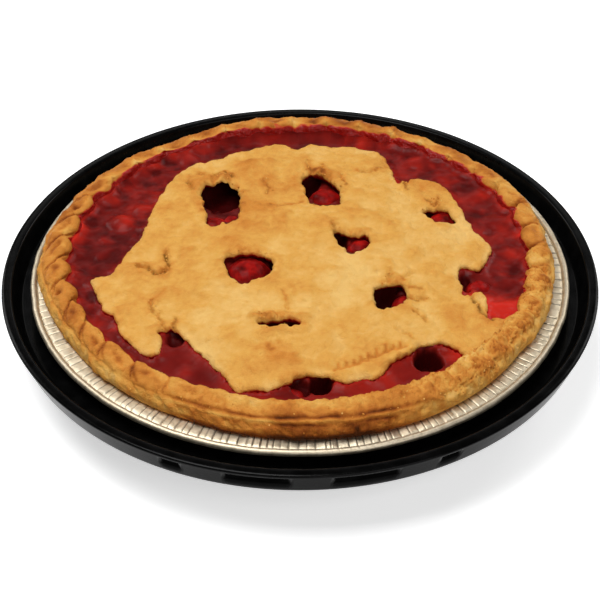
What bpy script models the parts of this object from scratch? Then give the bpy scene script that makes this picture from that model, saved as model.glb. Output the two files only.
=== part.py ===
"""Cherry pie in its foil tin, standing in a shallow black display tray.

Five closed solids in metres, +Z up, with the origin at the centre of the tray's underside:
display_tray, foil_tin, bottom_crust (the shell and its fluted rim), cherry_filling and top_crust.
Lengths below are millimetres; vertices are made in metres.
"""

from math import cos, hypot, pi, radians, sin

import bmesh
import bpy
from mathutils import Vector
from mathutils.geometry import delaunay_2d_cdt

MM = 0.001
GAP = 0.3  # clearance kept between neighbouring solids
HIDDEN_RATIO = 3  # rim and flange rings have this many times the points of the hidden rings

# Display tray: one thermoformed sheet with a well, a channel round it, a lip and a hanging skirt.
TRAY_RADIUS = 127.0
TRAY_HEIGHT = 32.0
TRAY_SHEET = 1.0
TRAY_POINTS = 48
WELL_FLOOR_RADIUS = 88.0
WELL_TOP_RADIUS = 107.4
CHANNEL_RADIUS = 118.8
CHANNEL_FLOOR = 24.0
LIP_INNER_RADIUS = 122.6
SKIRT_FOOT_RADIUS = 123.6
SKIRT_FOOT = 21.2
LOCK_TOP = 30.2
LOCK_BOTTOM = 26.2
LOCK_DEPTH = 0.6
LOCK_CENTRE = 272.0  # degrees; the lock windows repeat every quarter turn from here
LOCK_WINDOWS = ((3.75, 15.0), (22.5, 26.25))  # degrees either side of each centre

# Foil tin.
TIN_SHEET = 0.6
TIN_FLOOR = TRAY_SHEET + GAP
TIN_FLOOR_RADIUS = 83.0
TIN_CORNER = 2.6
TIN_MOUTH_RADIUS = 103.4
FLANGE_TOP = 31.2
FLANGE_INNER_RADIUS = 105.2
FLANGE_OUTER_RADIUS = 111.6
BEAD_RADIUS = 1.4
TIN_RADIUS = 114.9
PLEATS = 45
PLEAT_DEPTH = 0.3

# Crust shell and rim.
FLUTES = 39
NOTCH_PHASE = 9.0  # degrees, the first notch between two flutes
FLUTE_POINTS = 3
CRUST_WALL = 3.4
GEL_LEVEL = 35.2
FRONT = 272.0  # degrees, the middle of the stretch where the flutes are pressed flat
FRONT_HALF_WIDTH = 34.0
FRONT_BLEND = 22.0

# Top crust.
LID_THICKNESS = 2.4
LID_EDGE = GEL_LEVEL + GAP + LID_THICKNESS
LID_RISE = 3.0
LID_RADIUS = 88.0
GRID_STEP = 13.0

# The top crust's outline, anticlockwise from the right, x and y. A smooth curve runs through the points.
LID_OUTLINE = (
    (82, 3), (75, 18), (69, 37), (64, 50), (54, 55), (46, 52), (43, 63), (36, 79), (16, 83), (5, 84),
    (0, 81), (-10, 85), (-30, 79), (-38, 72), (-52, 67), (-62, 45), (-67, 20), (-73, 5), (-73, -6),
    (-79, -13), (-87, -17), (-84, -30), (-72, -50), (-62, -63), (-55, -62), (-55, -54), (-46, -55),
    (-36, -73), (-25, -85), (-2, -85), (28, -80), (42, -66), (50, -61), (59, -61), (66, -66), (75, -57),
    (81, -47), (77, -33), (69, -29), (67, -17), (76, -13), (80, -6),
)
OUTLINE_STEPS = 2  # samples of the curve between two points

# Vents cut through the top crust: centre x and y, half width, half height and turn in degrees.
VENTS = (
    (-35.0, 34.5, 8.0, 16.5, 12.0),
    (9.0, 43.0, 8.5, 12.5, 12.0),
    (-21.5, -14.5, 10.5, 9.0, 0.0),
    (21.5, 3.0, 8.0, 5.5, -25.0),
    (60.5, 24.0, 7.0, 3.6, -18.0),
    (36.5, -33.0, 7.0, 7.5, 0.0),
    (-8.5, -50.0, 8.5, 2.0, -4.0),
)
VENT_POINTS = 10

# Hollows in the filling: centre x and y, radius and depth.
HOLLOWS = (
    (-36.0, 38.0, 6.0, 6.0),
    (5.0, 46.0, 4.5, 5.0),
    (36.0, -33.0, 5.0, 5.0),
    (48.0, -67.5, 4.5, 5.0),
    (4.0, -81.0, 5.0, 5.0),
    (-52.0, -54.0, 4.0, 4.0),
    (71.0, -20.0, 4.0, 4.0),
)
HOLLOW_POINTS = 8
HOLLOW_FLOOR = 0.6  # a hollow is flat out to this share of its radius
HOLLOW_MOUTH = 1.5  # and meets the filling's level at this one


def smooth_step(low, high, value):
    """0 below low, 1 above high, and an S-curve between them."""
    share = min(1.0, max(0.0, (value - low) / (high - low)))
    return share * share * (3.0 - 2.0 * share)


def angle_between(first, second):
    """The unsigned angle in degrees between two directions."""
    return abs((first - second + 180.0) % 360.0 - 180.0)


# Mesh helpers ------------------------------------------------------------------------------------


def add_pole(mesh, height):
    """One vertex on the axis."""
    return [mesh.verts.new((0.0, 0.0, height * MM))]


def add_ring(mesh, count, place, start=0.0):
    """A ring of vertices; place(degrees) gives each its radius and height."""
    ring = []
    for step in range(count):
        turn = start + 360.0 * step / count
        radius, height = place(turn)
        angle = radians(turn)
        ring.append(mesh.verts.new((radius * cos(angle) * MM, radius * sin(angle) * MM, height * MM)))
    return ring


def add_round(mesh, count, radius, height, start=0.0):
    """A plain circle of vertices."""
    return add_ring(mesh, count, lambda turn: (radius, height), start)


def join_rings(mesh, first, second):
    """Triangles between two rings, where one may have a whole multiple of the other's points."""
    coarse, fine = sorted((first, second), key=len)
    ratio = len(fine) // len(coarse)
    for step, here in enumerate(coarse):
        after = coarse[(step + 1) % len(coarse)]
        for part in range(ratio):
            low = fine[(step * ratio + part) % len(fine)]
            high = fine[(step * ratio + part + 1) % len(fine)]
            if part * 2 < ratio or len(coarse) == 1:
                mesh.faces.new((here, low, high))
            else:
                mesh.faces.new((after, low, high))
        if len(coarse) > 1:
            middle = fine[(step * ratio + (ratio + 1) // 2) % len(fine)]
            mesh.faces.new((here, middle, after))


def join_all(mesh, rings):
    """Joins each ring of a list to the next."""
    for first, second in zip(rings, rings[1:]):
        join_rings(mesh, first, second)


def finish_object(name, mesh, colour, roughness, metallic=0.0):
    """Turns a closed mesh outward, shades it smooth and links it with its own material."""
    bmesh.ops.recalc_face_normals(mesh, faces=mesh.faces)
    data = bpy.data.meshes.new(name)
    mesh.to_mesh(data)
    mesh.free()
    data.shade_smooth()
    data.set_sharp_from_angle(angle=radians(35.0))
    material = bpy.data.materials.new(name)
    material.use_nodes = True
    shader = material.node_tree.nodes["Principled BSDF"]
    shader.inputs["Base Color"].default_value = (*colour, 1.0)
    shader.inputs["Roughness"].default_value = roughness
    shader.inputs["Metallic"].default_value = metallic
    data.materials.append(material)
    thing = bpy.data.objects.new(name, data)
    bpy.context.scene.collection.objects.link(thing)
    return thing


# Tray --------------------------------------------------------------------------------------------


def lock_inset(turn):
    """How far the skirt steps in at an angle: LOCK_DEPTH inside a lock window."""
    away = angle_between(turn % 90.0 * 4.0, LOCK_CENTRE % 90.0 * 4.0) / 4.0
    edge = 0.1
    inside = any(low - edge < away < high + edge for low, high in LOCK_WINDOWS)
    return LOCK_DEPTH if inside else 0.0


def skirt_radius(height):
    """The skirt's outer radius, which narrows towards its foot."""
    share = (TRAY_HEIGHT - 1.1 - height) / (TRAY_HEIGHT - 1.1 - SKIRT_FOOT)
    return TRAY_RADIUS + (SKIRT_FOOT_RADIUS - TRAY_RADIUS) * share


def make_tray():
    """The tray's sheet, from the underside's centre out to the skirt's foot and back in to the floor."""
    mesh = bmesh.new()
    start = LOCK_CENTRE
    lip_under = TRAY_HEIGHT - TRAY_SHEET - 0.2
    under = (
        (WELL_FLOOR_RADIUS, 0.0),
        (WELL_FLOOR_RADIUS + 3.2, 0.9),
        (WELL_FLOOR_RADIUS + 6.7, 3.8),
        (WELL_TOP_RADIUS + 1.2, CHANNEL_FLOOR - TRAY_SHEET - 1.2),
        (WELL_TOP_RADIUS + 2.5, CHANNEL_FLOOR - TRAY_SHEET),
        (CHANNEL_RADIUS + 0.8, CHANNEL_FLOOR - TRAY_SHEET),
        (CHANNEL_RADIUS + 2.3, CHANNEL_FLOOR + 0.4),
        (LIP_INNER_RADIUS + 1.1, lip_under),
        (TRAY_RADIUS - 1.5, lip_under),
        (SKIRT_FOOT_RADIUS - TRAY_SHEET - 0.1, SKIRT_FOOT),
    )
    rings = [add_pole(mesh, 0.0)]
    rings += [add_round(mesh, TRAY_POINTS, radius, height, start) for radius, height in under]
    skirt = (
        (SKIRT_FOOT, False),
        (LOCK_BOTTOM, True),
        (LOCK_TOP, True),
        (TRAY_HEIGHT - 1.1, False),
    )
    for height, is_window in skirt:
        def place(turn, height=height, is_window=is_window):
            return skirt_radius(height) - (lock_inset(turn) if is_window else 0.0), height
        rings.append(add_ring(mesh, TRAY_POINTS * 2, place, start))
    inside = (
        (TRAY_RADIUS - 0.4, TRAY_HEIGHT - 0.4),
        (TRAY_RADIUS - 1.4, TRAY_HEIGHT),
        (LIP_INNER_RADIUS + 0.6, TRAY_HEIGHT),
        (LIP_INNER_RADIUS, TRAY_HEIGHT - 0.6),
        (CHANNEL_RADIUS + 1.2, CHANNEL_FLOOR + 1.0),
        (CHANNEL_RADIUS, CHANNEL_FLOOR),
        (WELL_TOP_RADIUS + 2.3, CHANNEL_FLOOR),
        (WELL_TOP_RADIUS + 0.6, CHANNEL_FLOOR - 1.3),
        (WELL_FLOOR_RADIUS + 5.9, 4.4),
        (WELL_FLOOR_RADIUS + 2.7, 1.9),
        (WELL_FLOOR_RADIUS - 0.2, TRAY_SHEET),
    )
    rings += [add_round(mesh, TRAY_POINTS, radius, height, start) for radius, height in inside]
    rings.append(add_pole(mesh, TRAY_SHEET))
    join_all(mesh, rings)
    return finish_object("display_tray", mesh, (0.004, 0.004, 0.004), 0.25)


# Foil tin ----------------------------------------------------------------------------------------


def make_tin():
    """The tin's sheet: floor, sloping wall, pleated flange and rolled bead."""
    mesh = bmesh.new()
    fine = PLEATS * 2
    coarse = fine // HIDDEN_RATIO
    inner_floor = TIN_FLOOR + TIN_SHEET
    bead_height = TRAY_HEIGHT - 0.1 - BEAD_RADIUS
    bead_centre = TIN_RADIUS - BEAD_RADIUS

    def pleated(radius, height, share):
        """A ring whose points rise and fall in turn, as the pleats do."""
        def place(turn):
            step = round(turn * fine / 360.0)
            return radius, height + PLEAT_DEPTH * share * (0.5 if step % 2 else -0.5)
        return add_ring(mesh, fine, place)

    rings = [add_pole(mesh, TIN_FLOOR)]
    rings.append(add_round(mesh, coarse, TIN_FLOOR_RADIUS + 0.3, TIN_FLOOR))
    rings.append(add_round(mesh, coarse, TIN_FLOOR_RADIUS + 3.2, TIN_FLOOR + 1.8))
    rings.append(add_round(mesh, coarse, TIN_MOUTH_RADIUS + 0.5, FLANGE_TOP - 1.8))
    rings.append(pleated(FLANGE_INNER_RADIUS + 0.3, FLANGE_TOP - TIN_SHEET, 1.0))
    rings.append(pleated(FLANGE_OUTER_RADIUS, FLANGE_TOP - TIN_SHEET - 0.1, 0.5))
    for lean in (-90.0, 0.0, 90.0):
        angle = radians(lean)
        radius = bead_centre + BEAD_RADIUS * cos(angle)
        height = bead_height + BEAD_RADIUS * sin(angle)
        rings.append(add_round(mesh, fine, radius, height))
    rings.append(pleated(FLANGE_OUTER_RADIUS, FLANGE_TOP, 0.5))
    rings.append(pleated(FLANGE_INNER_RADIUS, FLANGE_TOP, 1.0))
    rings.append(add_round(mesh, coarse, TIN_MOUTH_RADIUS, FLANGE_TOP - 1.6))
    rings.append(add_round(mesh, coarse, TIN_FLOOR_RADIUS + TIN_CORNER, inner_floor + 1.5))
    rings.append(add_round(mesh, coarse, TIN_FLOOR_RADIUS, inner_floor))
    rings.append(add_pole(mesh, inner_floor))
    join_all(mesh, rings)
    return finish_object("foil_tin", mesh, (0.72, 0.68, 0.62), 0.35, metallic=1.0)


# Crust shell and rim -----------------------------------------------------------------------------

# The rim's section at a notch between two flutes, at a flute's middle and where the front is pressed
# flat: radius and height of the same nine points, from the outer foot over the top to the inner toe.
NOTCH_SECTION = (
    (107.5, 32.0), (107.9, 34.6), (106.6, 37.6), (104.6, 40.0), (102.6, 41.0),
    (101.0, 40.2), (99.8, 38.2), (98.6, GEL_LEVEL), (98.4, GEL_LEVEL - 1.2),
)
FLUTE_SECTION = (
    (107.5, 32.0), (107.9, 34.2), (106.9, 36.6), (105.2, 38.6), (102.4, 39.8),
    (98.6, 41.0), (96.2, 39.8), (95.2, GEL_LEVEL), (95.2, GEL_LEVEL - 1.2),
)
FRONT_SECTION = (
    (107.5, 32.0), (107.8, 34.8), (106.4, 37.6), (104.5, 40.0), (101.2, 41.0),
    (97.6, 41.4), (95.4, 40.6), (94.6, GEL_LEVEL), (94.6, GEL_LEVEL - 1.2),
)
GEL_POINT = 7  # the section's point at the filling's level
# From the back left round to the right the rim spreads wider, out to the bead: this much at each point.
SPREAD = (4.2, 4.2, 4.0, 3.4, 2.6, 1.9, 1.5, 1.1, 1.1)
WIDE = 108.0  # degrees, the middle of the wide stretch
WIDE_REACH = (72.0, 108.0)  # degrees from there where the spread begins to fall, and is gone


def rim_point(index, turn):
    """Radius and height of one section point at an angle round the rim."""
    phase = (turn - NOTCH_PHASE) * FLUTES
    flute = abs(sin(radians(phase) / 2.0)) ** 0.7
    front = 1.0 - smooth_step(FRONT_HALF_WIDTH - FRONT_BLEND, FRONT_HALF_WIDTH, angle_between(turn, FRONT))
    front *= 0.8
    notch, petal, flat = NOTCH_SECTION[index], FLUTE_SECTION[index], FRONT_SECTION[index]
    mixed = [n + (p - n) * flute for n, p in zip(notch, petal)]
    radius, height = (m + (f - m) * front for m, f in zip(mixed, flat))
    wide = 1.0 - smooth_step(*WIDE_REACH, angle_between(turn, WIDE))
    return radius + SPREAD[index] * wide, height


def rim_ring(mesh, index, inset=0.0):
    """The rim's ring of one section point, moved inward by inset."""
    def place(turn):
        radius, height = rim_point(index, turn)
        return radius - inset, height
    return add_ring(mesh, FLUTES * FLUTE_POINTS, place, NOTCH_PHASE)


def make_bottom_crust():
    """The pastry shell that lines the tin, with the fluted rim on the tin's flange."""
    mesh = bmesh.new()
    outer_floor = TIN_FLOOR + TIN_SHEET + GAP
    inner_floor = outer_floor + CRUST_WALL
    outer = (
        (TIN_FLOOR_RADIUS - 0.2, outer_floor),
        (TIN_FLOOR_RADIUS + TIN_CORNER - 0.4, outer_floor + 1.6),
        (TIN_MOUTH_RADIUS - 0.5, FLANGE_TOP - 1.4),
        (FLANGE_INNER_RADIUS - 0.8, FLANGE_TOP + 0.6),
    )
    inner = (
        (TIN_MOUTH_RADIUS - 6.0, GEL_LEVEL - 3.8),
        (TIN_MOUTH_RADIUS - 6.6, GEL_LEVEL - 8.0),
        (TIN_FLOOR_RADIUS + 0.6, inner_floor + 1.2),
        (TIN_FLOOR_RADIUS - 2.0, inner_floor),
    )
    rings = [add_pole(mesh, outer_floor)]
    rings += [add_round(mesh, FLUTES, radius, height, NOTCH_PHASE) for radius, height in outer]
    rings += [rim_ring(mesh, index) for index in range(len(FLUTE_SECTION))]
    rings += [add_round(mesh, FLUTES, radius, height, NOTCH_PHASE) for radius, height in inner]
    rings.append(add_pole(mesh, inner_floor))
    join_all(mesh, rings)
    return finish_object("bottom_crust", mesh, (0.55, 0.27, 0.09), 0.7)


# Filling and top crust ---------------------------------------------------------------------------


def lid_height(x, y):
    """Height of the top crust's upper face, a low dome with soft waves."""
    radius = hypot(x, y)
    dome = LID_RISE * max(0.0, 1.0 - (radius / LID_RADIUS) ** 2)
    fade = 1.0 - smooth_step(60.0, LID_RADIUS, radius)
    waves = 0.45 * sin(x / 13.0 + 0.6) * sin(y / 11.0 - 0.4) * fade
    return LID_EDGE + dome + waves


def filling_height(x, y):
    """Height of the filling: level round the edge, close under the top crust, sunk in the hollows."""
    height = lid_height(x, y) - LID_THICKNESS - GAP
    for centre_x, centre_y, radius, depth in HOLLOWS:
        away = hypot(x - centre_x, y - centre_y)
        height -= depth * (1.0 - smooth_step(radius * HOLLOW_FLOOR, radius * HOLLOW_MOUTH, away))
    return height


def smooth_outline(points, steps):
    """A closed Catmull-Rom curve through the points, with steps samples between each pair."""
    count = len(points)
    curve = []
    for index in range(count):
        before, here, after, beyond = (Vector(points[(index + shift) % count]) for shift in (-1, 0, 1, 2))
        for step in range(steps):
            t = step / steps
            curve.append(0.5 * (2.0 * here + (after - before) * t
                                + (2.0 * before - 5.0 * here + 4.0 * after - beyond) * t ** 2
                                + (3.0 * here - before - 3.0 * after + beyond) * t ** 3))
    return curve


def vent_outline(centre_x, centre_y, half_width, half_height, turn):
    """The outline of a vent, a slightly uneven oval."""
    loop = []
    lean = radians(turn)
    for step in range(VENT_POINTS):
        angle = 2.0 * pi * step / VENT_POINTS
        swell = 1.0 + 0.07 * sin(3.0 * angle + centre_x)
        x = half_width * swell * cos(angle)
        y = half_height * swell * sin(angle)
        turned = Vector((x * cos(lean) - y * sin(lean), x * sin(lean) + y * cos(lean)))
        loop.append(Vector((centre_x, centre_y)) + turned)
    return loop


def is_inside(point, loop):
    """Whether a point lies in a closed loop, by counting crossings."""
    inside = False
    for index, first in enumerate(loop):
        second = loop[(index + 1) % len(loop)]
        if (first.y > point.y) != (second.y > point.y):
            crossing = first.x + (point.y - first.y) * (second.x - first.x) / (second.y - first.y)
            inside ^= point.x < crossing
    return inside


def grid_points(loop, holes, margin):
    """Points of a triangular grid inside a loop, clear of its edge and of the holes' edges."""
    edges = list(loop) + [point for hole in holes for point in hole]
    kept = []
    for row in range(-8, 9):
        for column in range(-8, 9):
            point = Vector(((column + 0.5 * (row % 2)) * GRID_STEP, row * GRID_STEP * 0.87))
            if not is_inside(point, loop) or any(is_inside(point, hole) for hole in holes):
                continue
            if min((point - edge).length for edge in edges) > margin:
                kept.append(point)
    return kept


def triangulate(loop, holes, points):
    """Points and triangles of the area inside a loop and outside the holes."""
    flat = [Vector(point) for point in loop]
    edges = [(index, (index + 1) % len(loop)) for index in range(len(loop))]
    for hole in holes:
        first = len(flat)
        flat += hole
        edges += [(first + index, first + (index + 1) % len(hole)) for index in range(len(hole))]
    flat += points
    made, _, faces, *_ = delaunay_2d_cdt(flat, edges, [], 0, 0.001)
    kept = []
    for face in faces:
        centre = sum((made[index] for index in face), Vector((0.0, 0.0))) / len(face)
        if is_inside(centre, loop) and not any(is_inside(centre, hole) for hole in holes):
            kept.append(face)
    return made, kept


def make_top_crust():
    """The top crust: a sheet with a ragged outline and vents, lying on the filling."""
    mesh = bmesh.new()
    loop = smooth_outline(LID_OUTLINE, OUTLINE_STEPS)
    holes = [vent_outline(*vent) for vent in VENTS]
    flat, faces = triangulate(loop, holes, grid_points(loop, holes, 0.45 * GRID_STEP))
    top, under = (
        [mesh.verts.new((p.x * MM, p.y * MM, (lid_height(p.x, p.y) - drop) * MM)) for p in flat]
        for drop in (0.0, LID_THICKNESS)
    )
    uses = {}
    for face in faces:
        mesh.faces.new([top[index] for index in face])
        mesh.faces.new([under[index] for index in reversed(face)])
        for here, after in zip(face, face[1:] + face[:1]):
            uses[(here, after)] = True
    for here, after in uses:
        if (after, here) not in uses:
            mesh.faces.new((top[here], under[here], under[after]))
            mesh.faces.new((top[here], under[after], top[after]))
    return finish_object("top_crust", mesh, (0.75, 0.42, 0.09), 0.75)


def make_filling():
    """The filling, from the shell's floor up to its level, with hollows under the open vents."""
    mesh = bmesh.new()
    floor = TIN_FLOOR + TIN_SHEET + GAP + CRUST_WALL + GAP
    wall = (
        (TIN_FLOOR_RADIUS - 2.4, floor),
        (TIN_FLOOR_RADIUS, floor + 1.2),
        (TIN_MOUTH_RADIUS - 7.1, GEL_LEVEL - 8.0),
        (TIN_MOUTH_RADIUS - 6.5, GEL_LEVEL - 3.9),
    )
    rings = [add_pole(mesh, floor)]
    rings += [add_round(mesh, FLUTES, radius, height, NOTCH_PHASE) for radius, height in wall]
    rings.append(rim_ring(mesh, GEL_POINT + 1, inset=1.5 * GAP))
    rings.append(rim_ring(mesh, GEL_POINT, inset=1.5 * GAP))
    join_all(mesh, rings)
    edge = rings[-1]
    loop = [Vector((vert.co.x / MM, vert.co.y / MM)) for vert in edge]
    points = []
    for centre_x, centre_y, radius, _ in HOLLOWS:
        for step in range(HOLLOW_POINTS):
            angle = 2.0 * pi * step / HOLLOW_POINTS
            way = Vector((cos(angle), sin(angle))) * radius
            points += [Vector((centre_x, centre_y)) + way * reach for reach in (HOLLOW_FLOOR, HOLLOW_MOUTH)]
    points = [point for point in points if is_inside(point, loop)]
    clear = [point for point in grid_points(loop, [], 0.45 * GRID_STEP)
             if min((point - other).length for other in points) > 0.35 * GRID_STEP]
    flat, faces = triangulate(loop, [], points + clear)
    inner = flat[len(edge):]
    top = edge + [mesh.verts.new((p.x * MM, p.y * MM, filling_height(p.x, p.y) * MM)) for p in inner]
    for face in faces:
        mesh.faces.new([top[index] for index in face])
    return finish_object("cherry_filling", mesh, (0.22, 0.008, 0.006), 0.15)


def clear_scene():
    """Removes whatever the scene held before."""
    for thing in list(bpy.data.objects):
        bpy.data.objects.remove(thing, do_unlink=True)


clear_scene()
make_tray()
make_tin()
make_bottom_crust()
make_filling()
make_top_crust()
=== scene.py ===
# %% [markdown]
# # A cherry pie in its foil tin
#
# A fluted shortcrust pie with cherry gel stands in a pleated foil tin, and the tin stands in a shallow
# black display tray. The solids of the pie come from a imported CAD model. This lesson dresses each of them
# with a detailed mesh and a material of its own: the thermoformed tray, the foil, the crimped rim, the gel
# with its cherries and the pale top crust with its vents.

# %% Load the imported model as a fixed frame
from math import cos, pi, radians, sin

import bmesh
import bpy
import numpy as np
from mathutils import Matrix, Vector
from mathutils.geometry import delaunay_2d_cdt
from mathutils.kdtree import KDTree


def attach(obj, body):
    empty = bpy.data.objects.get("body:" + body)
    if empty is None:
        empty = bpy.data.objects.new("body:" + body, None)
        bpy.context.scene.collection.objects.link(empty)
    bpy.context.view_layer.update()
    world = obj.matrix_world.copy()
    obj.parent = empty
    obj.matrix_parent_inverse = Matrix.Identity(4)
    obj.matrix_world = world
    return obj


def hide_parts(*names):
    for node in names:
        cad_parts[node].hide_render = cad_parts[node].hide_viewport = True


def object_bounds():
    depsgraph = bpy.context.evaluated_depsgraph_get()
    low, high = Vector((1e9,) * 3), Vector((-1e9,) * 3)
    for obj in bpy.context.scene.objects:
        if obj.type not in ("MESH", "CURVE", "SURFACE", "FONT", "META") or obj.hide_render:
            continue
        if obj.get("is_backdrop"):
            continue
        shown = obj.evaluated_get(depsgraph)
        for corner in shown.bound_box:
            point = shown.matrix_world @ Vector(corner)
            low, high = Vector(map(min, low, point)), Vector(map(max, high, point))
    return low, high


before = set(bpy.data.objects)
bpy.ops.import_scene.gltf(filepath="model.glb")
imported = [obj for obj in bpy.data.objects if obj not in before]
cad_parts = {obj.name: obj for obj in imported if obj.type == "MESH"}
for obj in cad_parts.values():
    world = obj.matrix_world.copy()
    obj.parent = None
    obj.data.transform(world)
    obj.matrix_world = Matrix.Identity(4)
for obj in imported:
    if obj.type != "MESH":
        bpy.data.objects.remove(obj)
cad_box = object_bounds()
print("nodes in the frame:", sorted(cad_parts))

# %% [markdown]
# Every length below is in millimetres, as a baker or a toolmaker would say it, and is turned into metres
# only when a mesh is made. Colours are written as sRGB hex codes, which is how they read on a screen, and
# one function turns them into the linear values that the shaders work with.

# %% Units, colours and soft steps
MM = 0.001


def colour(code):
    """An sRGB hex code as linear red, green, blue and alpha."""
    channels = [int(code[start:start + 2], 16) / 255 for start in (1, 3, 5)]
    return (*[c / 12.92 if c <= 0.04045 else ((c + 0.055) / 1.055) ** 2.4 for c in channels], 1.0)


def smooth_step(low, high, value):
    """0 below low, 1 above high, and an S-curve between them."""
    share = np.clip((value - low) / (high - low), 0.0, 1.0)
    return share * share * (3.0 - 2.0 * share)


def bump(value, centre, width):
    """1 at the centre, falling away like a bell."""
    return np.exp(-((value - centre) / width) ** 2)


def angle_between(first, second):
    """The unsigned angle in degrees between two directions."""
    return np.abs((first - second + 180.0) % 360.0 - 180.0)


print("pastry gold in linear light:", [round(c, 3) for c in colour("#e0a850")])

# %% [markdown]
# Dough, gel and foil are never quite even. A table of random numbers, read with soft steps between its
# entries, gives bumps of a chosen width in millimetres. A fixed seed gives the same pie on every run.

# %% Soft random relief
TABLE = 97


def soft_noise(x, y, size, seed, octaves=2):
    """Smooth heights from about -1 to 1 whose bumps are about size across, each octave half as wide."""
    total = np.zeros(np.shape(x))
    for octave in range(octaves):
        table = np.random.default_rng(seed * 10 + octave).uniform(-1.0, 1.0, (TABLE, TABLE))
        turn = 0.6 + octave
        along = (x * cos(turn) - y * sin(turn)) * 2 ** octave / size + 31.7
        across = (x * sin(turn) + y * cos(turn)) * 2 ** octave / size + 17.3
        column, row = np.floor(along).astype(int), np.floor(across).astype(int)
        s, t = smooth_step(0, 1, along - column), smooth_step(0, 1, across - row)
        near = table[row % TABLE, column % TABLE] * (1 - s) + table[row % TABLE, (column + 1) % TABLE] * s
        row = row + 1
        far = table[row % TABLE, column % TABLE] * (1 - s) + table[row % TABLE, (column + 1) % TABLE] * s
        total += 0.5 ** octave * (near * (1 - t) + far * t)
    return total * 1.2


probe = soft_noise(np.arange(0.0, 100.0), np.zeros(100), 5.0, 1)
print(f"relief runs from {probe.min():.2f} to {probe.max():.2f}")

# %% [markdown]
# The camera comes first, so that every later piece is judged through it. It looks down on the pie from the
# front at just under 39 degrees with a short telephoto lens from 60 cm away. The picture is square.

# %% Camera
CAMERA_DISTANCE = 603.2
CAMERA_ELEVATION = 38.9
CAMERA_TARGET = (0.0, -25.1, 32.0)

scene = bpy.context.scene
camera_data = bpy.data.cameras.new("camera")
camera_data.sensor_width = 36.0
camera_data.lens = 86.8
camera = bpy.data.objects.new("camera", camera_data)
scene.collection.objects.link(camera)
scene.camera = camera
camera.location = (
    CAMERA_TARGET[0] * MM,
    (CAMERA_TARGET[1] - CAMERA_DISTANCE * cos(radians(CAMERA_ELEVATION))) * MM,
    (CAMERA_TARGET[2] + CAMERA_DISTANCE * sin(radians(CAMERA_ELEVATION))) * MM,
)
camera.rotation_euler = (radians(90.0 - CAMERA_ELEVATION), 0.0, 0.0)
print("camera at", [round(value, 4) for value in camera.location])

# %% [markdown]
# A packshot studio is a white table, one softbox overhead, a little to the left so that every dent has a
# lit and a shaded side, and a weaker fill from the front. Two small cards behind make the foil sparkle, and
# a low strip of light gives the tray's far lip its faint sheen. The room beyond stays dim: black plastic
# mirrors whatever stands behind it, so a bright room would turn it grey. The table glows a little, as it is
# lit on its own to come out white.

# %% Floor and lights
WORLD = "#2e2e2e"
AIM = (0.0, 0.0, 0.03)
FLOOR_REACH = 3  # metres from the middle of the floor to its edges
# name, place, width and height, watts, all lengths in metres
LIGHTS = (
    ("overhead_softbox", (-0.28, -0.02, 1.15), (0.6, 0.6), 9.6),
    ("front_fill", (0.45, -0.9, 0.8), (0.8, 0.8), 4.6),
    ("back_left_card", (-0.85, 0.8, 0.75), (0.5, 0.5), 3.6),
    ("back_right_card", (0.85, 0.8, 0.75), (0.5, 0.5), 3.6),
    ("back_strip", (0.0, 2.0, 1.24), (1.4, 0.3), 2.6),
)

scene.view_settings.view_transform = "Standard"
scene.world = bpy.data.worlds.new("dim_studio")
scene.world.use_nodes = True
scene.world.node_tree.nodes["Background"].inputs["Color"].default_value = colour(WORLD)

for name, place, (width, height), watts in LIGHTS:
    light = bpy.data.lights.new(name, "AREA")
    light.shape = "RECTANGLE"
    light.size = width
    light.size_y = height
    light.energy = watts
    lamp = bpy.data.objects.new(name, light)
    lamp.location = place
    lamp.rotation_euler = (Vector(AIM) - Vector(place)).to_track_quat("-Z", "Y").to_euler()
    scene.collection.objects.link(lamp)

floor_mesh = bpy.data.meshes.new("floor")
corners = [(x * FLOOR_REACH, y * FLOOR_REACH, 0) for x, y in ((-1, -1), (1, -1), (1, 1), (-1, 1))]
floor_mesh.from_pydata(corners, [], [(0, 1, 2, 3)])
floor = bpy.data.objects.new("floor", floor_mesh)
scene.collection.objects.link(floor)
floor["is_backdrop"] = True
print("lights:", [name for name, *_ in LIGHTS])

# %% [markdown]
# A material is a small graph of nodes. One function fills a node's inputs, each with a value, with an
# output of another node, or with a whole node, which stands for its first output. Another adds a node, sets
# its options, fills its inputs and sets a colour ramp's stops.

# %% Node helper
MIX_A, MIX_B, MIX_RESULT = 6, 7, 2  # the colour sockets of a Mix node


def fill(tree, node, inputs):
    """Fills a node's inputs with values, or links them to sockets or to the first outputs of nodes."""
    for key, value in inputs.items():
        if isinstance(value, bpy.types.Node):
            value = value.outputs[0]
        if isinstance(value, bpy.types.NodeSocket):
            tree.links.new(value, node.inputs[key])
        else:
            node.inputs[key].default_value = value


def add_node(tree, kind, inputs=None, stops=(), **settings):
    """Adds a node with its settings, its inputs and the stops of its colour ramp."""
    node = tree.nodes.new(kind)
    for name, value in settings.items():
        setattr(node, name, value)
    fill(tree, node, inputs or {})
    for index, (place, code) in enumerate(stops):
        ramp = node.color_ramp.elements
        element = ramp[index] if index < len(ramp) else ramp.new(place)
        element.position = place
        element.color = colour(code)
    return node


def new_material(name):
    """A material with its node tree and its Principled shader."""
    material = bpy.data.materials.new(name)
    material.use_nodes = True
    return material, material.node_tree, material.node_tree.nodes["Principled BSDF"]


matt_white, tree, shader = new_material("white_card")
fill(tree, shader, {"Base Color": colour("#ffffff"), "Roughness": 0.9,
                    "Emission Color": colour("#ffffff"), "Emission Strength": 0.55})
floor_mesh.materials.append(matt_white)
print("floor finish:", matt_white.name)

# %% [markdown]
# Round things are lathed: a section is turned about the axis. One helper makes the points of such a grid,
# whose columns run right round, and one makes its faces. A third draws a smooth curve through a few points,
# which is how the rim's sections and the outlines of the top crust are given.

# %% Lathe and curve helpers


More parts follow.
